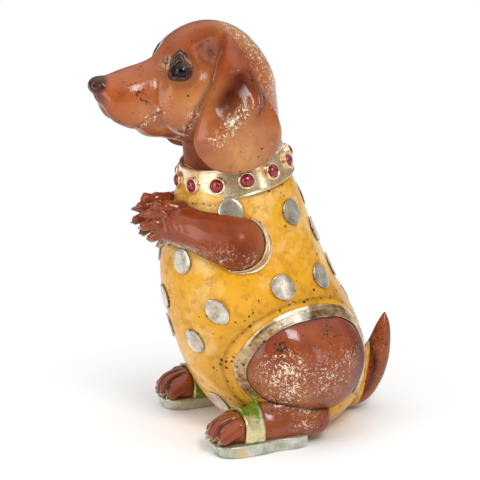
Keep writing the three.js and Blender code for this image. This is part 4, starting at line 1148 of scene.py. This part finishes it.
def ear_paint(grid):
    """Painted shade in the hollows and at the edge, tan on the lobe, flake down the lobe, thick as a painted
    sheen.
    """
    p = tube_mesh(grid)[0]
    tan = np.maximum(bells(p, EAR_TAN), 0.4 * side_line(p, [(-20, 60), (-28, 44)], 5))
    return {"amber": 0.35, "deep": np.maximum(fold(hollows(grid, 3)), strokes(p, EAR_DEEP)), "tan": tan,
            "flake": np.maximum(strokes(p, EAR_FLAKE), 0.4 * side_bell(p, -27, 31, 4)),
            "dull": 1.2 * strokes(p, EAR_DULL)}


ear_skin = ear_grid()
make_pair("ear_flap", [at_head(tube_mesh(ear_skin))], LACQUER, "ear", ear_paint(ear_skin))

# %% [markdown]
# ## Eyes and lids
# The eye is a ball of black glass. The lids are a closed ring of lacquer drawn in the eye's own axes: the
# opening is a rounded triangle with its apex up, and the outer edge runs high up the brow. Between the two
# the ring bulges, and above the eye it is folded into three ridges, which are gilded. A gilded, lighter patch
# at the upper right of the lids is a painted highlight.

# %% Eye pieces
LID_EDGES = np.radians((-90, 37.1, 148.4)), np.array((3.2, 3.6, 3.3))  # sides of the opening and how far off
LID_OUTLINE = [(-0.6, 11.6), (2.6, 8.8), (5.9, 3.9), (6.8, 0), (6.8, -3.6), (3.4, -5.6), (0, -6),
               (-3.5, -5.6), (-6, -3.4), (-6.6, 0.5), (-6.6, 4.9), (-3, 10.2)]


def at_eye(side, up, out):
    """Points given along the eye's three axes, from its middle."""
    return EYE_AT + side[..., None] * EYE_SIDE + up[..., None] * EYE_UP + out[..., None] * EYE_OUT


def eye_ball(rows=40, columns=64):
    """Sphere, with its poles on the outward axis."""
    polar, around = np.meshgrid(np.linspace(0, np.pi, rows), turns(columns), indexing="ij")
    reach = EYE_RADIUS * np.sin(polar)
    return tube_mesh(at_eye(reach * np.cos(around), reach * np.sin(around), EYE_RADIUS * np.cos(polar)))


def skin_before_eye(side, up):
    """How far along the eye's outward axis the skin of the head lies, found by walking in from outside."""
    out = np.full_like(side, 9.0)
    for _ in range(60):
        place = at_eye(side, up, out)
        out = out - 0.6 * (head_field(place) + face_carving(place))
    return out


def lid_ring(rows=160, columns=44):
    """From the opening, which lies on the ball, over a bulge to the outer edge in the skin, and back."""
    around = turns(rows)[:, None]
    sides, distances = LID_EDGES
    nearness = np.maximum(np.cos(around - sides), 0) / distances
    inner = np.minimum(np.sum(nearness ** 10, axis=1, keepdims=True) ** -0.1, 4.9)
    outline = smooth_line(LID_OUTLINE, 12, closed=True)
    outer = np.interp(around, np.arctan2(outline[:, 1], outline[:, 0]), length(outline), period=TAU)
    share = np.linspace(0, 1, columns)[None]
    above = np.clip(np.sin(around), 0, 1)
    ridge = above * np.cos(6 * np.pi * share)
    start = np.sqrt(EYE_RADIUS ** 2 - inner ** 2) + 0.15 + 0.3 * above
    end = skin_before_eye(outer * np.cos(around), outer * np.sin(around)) - 0.4
    bulge = 0.5 + 0.9 * np.clip(np.cos(around - 0.8), 0, 1) + 0.5 * np.clip(-np.sin(around), 0, 1)
    rise = start + (end - start) * share + bulge * np.sin(np.pi * share) ** 0.7 + 0.3 * ridge
    reach = inner + (outer - inner) * share
    skin = skin_before_eye(reach * np.cos(around), reach * np.sin(around))
    rise = np.maximum(rise, skin - 0.4 + 0.9 * np.sin(np.pi * share) ** 0.7)
    reach, rise = (np.concatenate([v, v[:, ::-1] - drop], axis=1) for v, drop in ((reach, 0), (rise, 2.2)))
    # `rim` is a painted highlight: a gilded, lighter patch at the upper right of the lids, where the glossy
    # ridge would gleam.
    rim = bell(around - np.radians(40), 0.5) * bell(share - 0.8, 0.2)
    gilt = np.maximum(0.45 * np.clip(ridge, 0, 1) ** 4, 0.5 * rim)
    layers = {"deep": 0.95 + 0.05 * above - 0.4 * rim, "gilt": gilt}
    layers = {n: np.concatenate([v + 0 * ridge, 0 * ridge], axis=1).ravel() for n, v in layers.items()}
    return ring_mesh(at_eye(reach * np.cos(around), reach * np.sin(around), rise)), layers


lid, lid_layers = lid_ring()
make_pair("eye_ball", [at_head(eye_ball())], EYE_GLASS, "eye")
make_pair("eye_lids", [at_head(lid)], LACQUER, paint=lid_layers)

# %% [markdown]
# ## Collar and stones
# The collar is a conical band of pale gold leaf, higher at the nape. Twelve turned cups stand square on its
# face, each with a red cabochon. Band and cups are one object, as they would be soldered together.

# %% Collar pieces
COLLAR_HEIGHT, COLLAR_LOW, COLLAR_HIGH, COLLAR_WALL = 16.5, 32.5, 28.5, 2.4
STONE_RADIUS, STONE_RISE, CUP_FLOOR, CUP_RISE, CUP_RIM, CUP_SINK = 3.2, 2.8, 1.0, 1.4, 1.2, 0.6
STONE_TURNS = np.radians(22 + 30 * np.arange(12))
COLLAR_SLOPE = np.arctan((COLLAR_LOW - COLLAR_HIGH) / COLLAR_HEIGHT)


def at_collar(grid):
    """Tilt about the dog's sideways axis, higher at the nape, and move to the neck."""
    x, y, z = np.moveaxis(grid, -1, 0)
    c, s = np.cos(COLLAR_TILT), np.sin(COLLAR_TILT)
    return np.stack([x, y * c - z * s, y * s + z * c], axis=-1) + HEAD_AT


def collar_ring(rows=180):
    """Rounded upright section turned about the neck; its radius falls with height, its edges are beaded."""
    out, up = superellipse(64, 7)
    height = COLLAR_HEIGHT / 2 * (1 + up)
    bead = 0.35 * bell(np.abs(up) - 0.93, 0.07) * np.clip(out, 0, 1)
    face = COLLAR_LOW + (COLLAR_HIGH - COLLAR_LOW) * height / COLLAR_HEIGHT
    radius = face - COLLAR_WALL / 2 * (1 - out) + bead
    turn = turns(rows)[:, None]
    ring = np.broadcast_arrays(np.sin(turn) * radius, -np.cos(turn) * radius, height)
    return ring_mesh(at_collar(np.stack(ring, axis=-1)))


def stood_on_collar(profile, turn, sink, columns=40):
    """A profile of radius and rise, turned about an axis square to the band's face at half its height."""
    radius, rise = np.asarray(profile, float).T[:, :, None]
    around = turns(columns)[None]
    sideways, upward, outward = axes(turn, COLLAR_SLOPE)
    middle = (COLLAR_LOW + COLLAR_HIGH) / 2
    seat = np.array([np.sin(turn) * middle, -np.cos(turn) * middle, COLLAR_HEIGHT / 2])
    grid = (seat + (rise - sink)[..., None] * outward + (radius * np.cos(around))[..., None] * sideways
            + (radius * np.sin(around))[..., None] * upward)
    return tube_mesh(at_collar(grid))


def cup_profile():
    """Outside of the cup, over a rounded rim and down to its floor."""
    bore, top = STONE_RADIUS + GLUE_GAP, CUP_FLOOR + CUP_RISE
    arc = np.linspace(0, np.pi, 9)
    half = CUP_RIM / 2
    rim = np.stack([bore + half * (1 + np.cos(arc)), top - half + half * np.sin(arc)], axis=-1)
    return np.concatenate([[(0, 0), (bore + CUP_RIM, 0)], rim, [(bore, CUP_FLOOR), (0, CUP_FLOOR)]])


def stone_profile():
    """A low straight girdle, then a dome that is an ellipse in section."""
    arc = np.linspace(0, np.pi / 2, 14)
    dome = np.stack([STONE_RADIUS * np.cos(arc), STONE_RISE * (0.3 + 0.7 * np.sin(arc))], axis=-1)
    return np.concatenate([[(0, 0), (STONE_RADIUS * 0.97, 0)], dome])


cups = [stood_on_collar(cup_profile(), turn, CUP_SINK) for turn in STONE_TURNS]
ring = collar_ring()
ring_rise = above_collar_edge(ring[0])
ring_edge = np.maximum(bell(ring_rise, 0.8), bell(ring_rise - COLLAR_HEIGHT, 0.8))
make_piece("collar", [ring, *cups], COLLAR_LEAF, ["collar_band"],
           {"grime": np.concatenate([0.35 * ring_edge, np.zeros(sum(len(cup[0]) for cup in cups))])})
for number, turn in enumerate(STONE_TURNS, 1):
    shell = stood_on_collar(stone_profile(), turn, CUP_SINK - CUP_FLOOR - GLUE_GAP)
    make_piece(f"cabochon_{number:02d}", [shell], STONE_GLASS, [f"collar_stone_{number:02d}"])

# %% [markdown]
# ## Bindings of the suit
# A gilt band is laid on the suit round each place where a limb comes out. Its inner edge is found where the
# suit meets the limb's field, and a rounded section with two beaded edges is carried along it. Over the top
# of the leg openings the leaf is painted pale: a painted highlight.

# %% Binding pieces
BINDING_THICKNESS = 1.4


def binding_shell(limb, centre, start, end, width, rows):
    """At every angle about the limb in the side view, go out to its edge and lay the section on the suit."""
    angle = np.radians(np.linspace(start, end, rows))[:, None]
    across, up = superellipse(36, 3.5)
    bead = 0.3 * bell(np.abs(across) - 0.8, 0.16) * np.clip(up, 0, 1)
    level = GLUE_GAP + BINDING_THICKNESS / 2 * (1 + up)[None] + bead

    def on_suit(reach):
        y, z = centre[1] + reach * np.cos(angle), centre[2] + reach * np.sin(angle)
        return np.stack([suit_side(y, z, level), y, z], axis=-1)

    edge = np.zeros((rows, len(across)))
    for _ in range(90):
        edge = edge + 0.5 * (GLUE_GAP - limb(on_suit(edge)))
    spread = length(on_suit(edge + 1) - on_suit(edge))
    grid = on_suit(edge + width(angle) / spread * (1 + across) / 2)
    groove = np.tile(bell(np.abs(across) - 0.62, 0.08) * (up > 0), (rows, 1))
    return tube_mesh(capped(grid)), np.concatenate([[0], groove.ravel(), [0]])


def leg_binding_width(angle):
    """Broadest over the top of the haunch, and narrower down the front."""
    return LEG_BINDING_WIDTH + 0.8 * np.cos(angle - np.radians(60))


def arm_binding_width(angle):
    """Broadest behind the arm, and tapering to both ends."""
    return 0.8 + 3.9 * np.cos(0.95 * (angle + np.radians(27))) ** 2


HIGHLIGHT_TOP = 108  # degrees from the rear, where the leaf of the leg openings is painted pale as a highlight
BINDINGS = {"leg_hem": (thigh, THIGH_AT, -38, 213, leg_binding_width, BINDING_LEAF),
            "armhole_hem": (foreleg, SHOULDER, -115, 60, arm_binding_width, COLLAR_LEAF)}
for node, (limb, centre, start, end, width, leaf) in BINDINGS.items():
    shell, groove = binding_shell(limb, centre, start, end, width, 130)
    around = np.degrees(np.arctan2(shell[0][:, 2] - centre[2], shell[0][:, 1] - centre[1]))
    tarnished = 0.4 * ramp(around, HIGHLIGHT_TOP + 35, HIGHLIGHT_TOP + 55)
    # `turn` brings in the pale second tint over the top of the opening: a painted highlight.
    layers = {"grime": np.maximum(0.6 * groove, tarnished), "turn": bell(around - HIGHLIGHT_TOP, 20)}
    make_pair(f"{node}_binding", [shell], leaf, node, layers)

# %% [markdown]
# ## Sandals
# The sole is a slab with a pinched waist and rounded edges. The strap is a section carried over the instep:
# at every angle a ray walks out of the foot until it is the strap's own level away from the skin.

# %% Sandal pieces
SOLE_HALF = [(0, SOLE_FRONT), (7.8, -30.7), (11.5, -21.5), (10.8, -6.5), (8.75, 3.5), (9.1, 13.5), (6.6, 21),
             (0, SOLE_BACK)]
SOLE_X = FOOT_X + 1.5
STRAP_WIDTH, STRAP_THICKNESS = 12.0, 1.6


def sole_grid(edge=1.3):
    """Outline shrunk towards its middle line while a rounded edge goes from the underside to the top."""
    half = np.array(SOLE_HALF)
    outline = smooth_line(np.concatenate([half, half[-2:0:-1] * (-1, 1)]), 14, closed=True)
    arc = np.linspace(0, np.pi / 2, 7)
    inset = np.concatenate([[11, 7, 4], edge * (1 - np.sin(arc)), edge * (1 - np.cos(arc)), [4, 7, 11]])
    height = np.concatenate([np.full(3, GROUND), GROUND + edge * (1 - np.cos(arc)),
                             SOLE_TOP - edge * (1 - np.sin(arc)), np.full(3, SOLE_TOP)])[:, None, None]
    middle = np.array([0, (SOLE_FRONT + SOLE_BACK) / 2])
    flat = middle + (1 - inset / 11)[:, None, None] * (outline - middle)
    spring = 2.4 * ramp(flat[..., 1:], -18, -32) * (SOLE_TOP - height) / (SOLE_TOP - GROUND)
    grid = np.concatenate([flat + (0, 1) * spring, np.broadcast_to(height, flat.shape[:2] + (1,))], axis=-1)
    return grid + (SOLE_X, 0, 0)


def strap_grid(rows=90):
    """Rays in planes across the foot, from the sole's outer edge over the instep to its inner edge."""
    angle = np.linspace(0, np.pi, rows)[:, None]
    across, up = superellipse(32, 3.5)
    bead = 0.3 * bell(np.abs(across) - 0.82, 0.14) * np.clip(up, 0, 1)
    level = GLUE_GAP + STRAP_THICKNESS / 2 * (1 + up) + bead
    y = STRAP_Y + STRAP_WIDTH / 2 * across
    ray = np.stack(np.broadcast_arrays(np.cos(angle), 0 * across, np.sin(angle)), axis=-1)
    grid = np.stack(np.broadcast_arrays(FOOT_X, y[None] + 0 * angle, SOLE_TOP + GLUE_GAP), axis=-1)
    for _ in range(70):
        grid = grid + 0.6 * (level - hind_foot(grid))[..., None] * ray
    return capped(grid), across


sole_shell = tube_mesh(sole_grid())
strap_rows, strap_across = strap_grid()
strap_place = np.linspace(0, 1, len(strap_rows) - 2)[:, None]
strap_edge = bell(np.abs(strap_across) - 0.85, 0.12)[None]
strap_turn = np.maximum(ramp(strap_place, 0.42, 0.3), strap_edge)
strap_layers = {"turn": 0.7 * np.concatenate([[1], strap_turn.ravel(), [0]])}
sole_layers = {"turn": 0.6 * side_bell(sole_shell[0], -22, 6, 9),
               "grime": 0.5 * bell(sole_shell[0][:, 2] - SOLE_TOP + 0.2, 0.4)}
make_pair("sole", [sole_shell], SOLE_LEAF, "sandal_sole", sole_layers)
make_pair("strap", [tube_mesh(strap_rows)], STRAP_LEAF, "sandal_strap", strap_layers)

# %% [markdown]
# ## Camera
# A long lens from the dog's left side, a little above. The azimuth is counted from the way the dog faces
# towards its left, and the lens is given for a sensor of 36 mm and a square picture.

# %% Camera
AZIMUTH, ELEVATION = np.radians(68.5), np.radians(15.8)
CAMERA_DISTANCE, LENS, SENSOR = 1392.6, 190.2, 36.0
AIM_HEIGHT, AIM_RIGHT, AIM_DOWN = 120, 0.71, 11.25
RIGHT, UP, BACK = axes(AZIMUTH, ELEVATION)


def placed(right, up, back, place):
    """Matrix of a camera or lamp from its three axes and its place, in metres."""
    return Matrix(np.vstack([np.stack([right, up, back, place], axis=1), [0, 0, 0, 1]]).tolist())


target = np.array([0, 0, AIM_HEIGHT]) + AIM_RIGHT * RIGHT - AIM_DOWN * UP + ORIGIN
lens = bpy.data.cameras.new("camera")
lens.lens = LENS
lens.sensor_width = SENSOR
lens.clip_end = 50.0
camera = linked("camera", lens)
camera.matrix_world = placed(RIGHT, UP, BACK, (target + CAMERA_DISTANCE * BACK) * MM)
bpy.context.scene.camera = camera
print("camera at, m:", np.round(camera.location, 3))

# %% [markdown]
# ## Floor
# A pale floor that fades to the white of the backdrop a hand's width away from the figurine. Only what the
# camera and the reflections see fades: the floor itself stays a plain diffuse surface that takes the
# shadow.

# %% Floor
FADE_FROM, FADE_TO, FLOOR_REACH = 0.06, 0.17, 4  # metres from the middle


def pale_floor():
    """Diffuse near the object, plain white further off for camera, glossy and transmission rays."""
    material, add, places = new_material("pale_floor")
    away = add("ShaderNodeVectorMath", {0: places}, operation="LENGTH").outputs["Value"]
    feeds = {0: away, 1: FADE_FROM, 2: FADE_TO}
    fade = add("ShaderNodeMapRange", feeds, interpolation_type="SMOOTHSTEP").outputs[0]
    path = add("ShaderNodeLightPath").outputs
    seen = maths(add, "MAXIMUM", path["Is Camera Ray"], path["Is Glossy Ray"])
    share = maths(add, "MULTIPLY", fade, maths(add, "MAXIMUM", seen, path["Is Transmission Ray"]))
    plain = add("ShaderNodeBsdfDiffuse", {"Color": linear("#f7f7f7")})
    white = add("ShaderNodeEmission", {"Color": linear("#ffffff"), "Strength": 1.0})
    both = add("ShaderNodeMixShader", {0: share, 1: plain.outputs[0], 2: white.outputs[0]})
    add("ShaderNodeOutputMaterial", {"Surface": both.outputs[0]})
    return material


floor_mesh = bpy.data.meshes.new("floor")
corners = [(x * FLOOR_REACH, y * FLOOR_REACH, 0.0) for x, y in ((-1, -1), (1, -1), (1, 1), (-1, 1))]
floor_mesh.from_pydata(corners, [], [(0, 1, 2, 3)])
floor_mesh.materials.append(pale_floor())
floor = linked("floor", floor_mesh)
print("floor, m:", tuple(floor.dimensions))

# %% [markdown]
# ## Light
# Lacquer and leaf are read by what they mirror, so the lamps stand where the highlights of the real object
# say: a key softbox high on the dog's left, a broad one before its face and a low strip behind its
# shoulder. The world fills in softly and is darker on the camera's side, which gives the metal its dark
# bands.

# %% Lamps and world
LAMP_AIM = np.array([0, 0, 0.11])
DARK_TURN, DARK_LIFT = np.radians(57), np.radians(8)  # the way to the dark part of the room


def softbox(name, azimuth, elevation, distance, size, power):
    """Rectangular lamp that looks at the middle of the figurine from a direction about it, in metres."""
    right, up, back = axes(np.radians(azimuth), np.radians(elevation))
    data = bpy.data.lights.new(name, "AREA")
    data.shape = "RECTANGLE"
    data.size, data.size_y = size
    data.energy = power
    linked(name, data).matrix_world = placed(right, up, back, LAMP_AIM + distance * back)


softbox("key", 92, 41, 0.9, (0.26, 0.3), 3.3)
softbox("front", 15, 16.5, 1.0, (0.55, 0.72), 3.4)
softbox("rear_strip", 120, 7, 0.9, (0.10, 0.3), 0.3)


def studio_world():
    """White for the camera. Other rays find a room bright overhead, dim aside and dark round the camera."""
    world = bpy.data.worlds.new("studio")
    world.use_nodes = True
    world.node_tree.nodes.clear()
    add = partial(add_node, world.node_tree)
    way = add("ShaderNodeTexCoord").outputs["Generated"]
    dark_way = tuple(axes(DARK_TURN, DARK_LIFT)[2])
    towards = add("ShaderNodeVectorMath", {0: way, 1: dark_way}, operation="DOT_PRODUCT").outputs["Value"]
    height = add("ShaderNodeSeparateXYZ", {0: way}).outputs["Z"]
    walls = ranged(add, towards, -0.9, 0.1, 0.25, 0.33)
    room = maths(add, "ADD", walls, ranged(add, height, 0.35, 0.95))
    grey = maths(add, "MULTIPLY", room, ranged(add, towards, 0.8, 0.97, 1.0, 0.2))
    path = add("ShaderNodeLightPath")
    level = add("ShaderNodeMix", {0: path.outputs["Is Camera Ray"], 2: grey, 3: 1.0}, data_type="FLOAT")
    glow = add("ShaderNodeBackground", {"Color": linear("#ffffff"), "Strength": level.outputs[0]})
    add("ShaderNodeOutputWorld", {"Surface": glow.outputs[0]})
    bpy.context.scene.world = world


studio_world()
bpy.context.scene.view_settings.view_transform = "Standard"
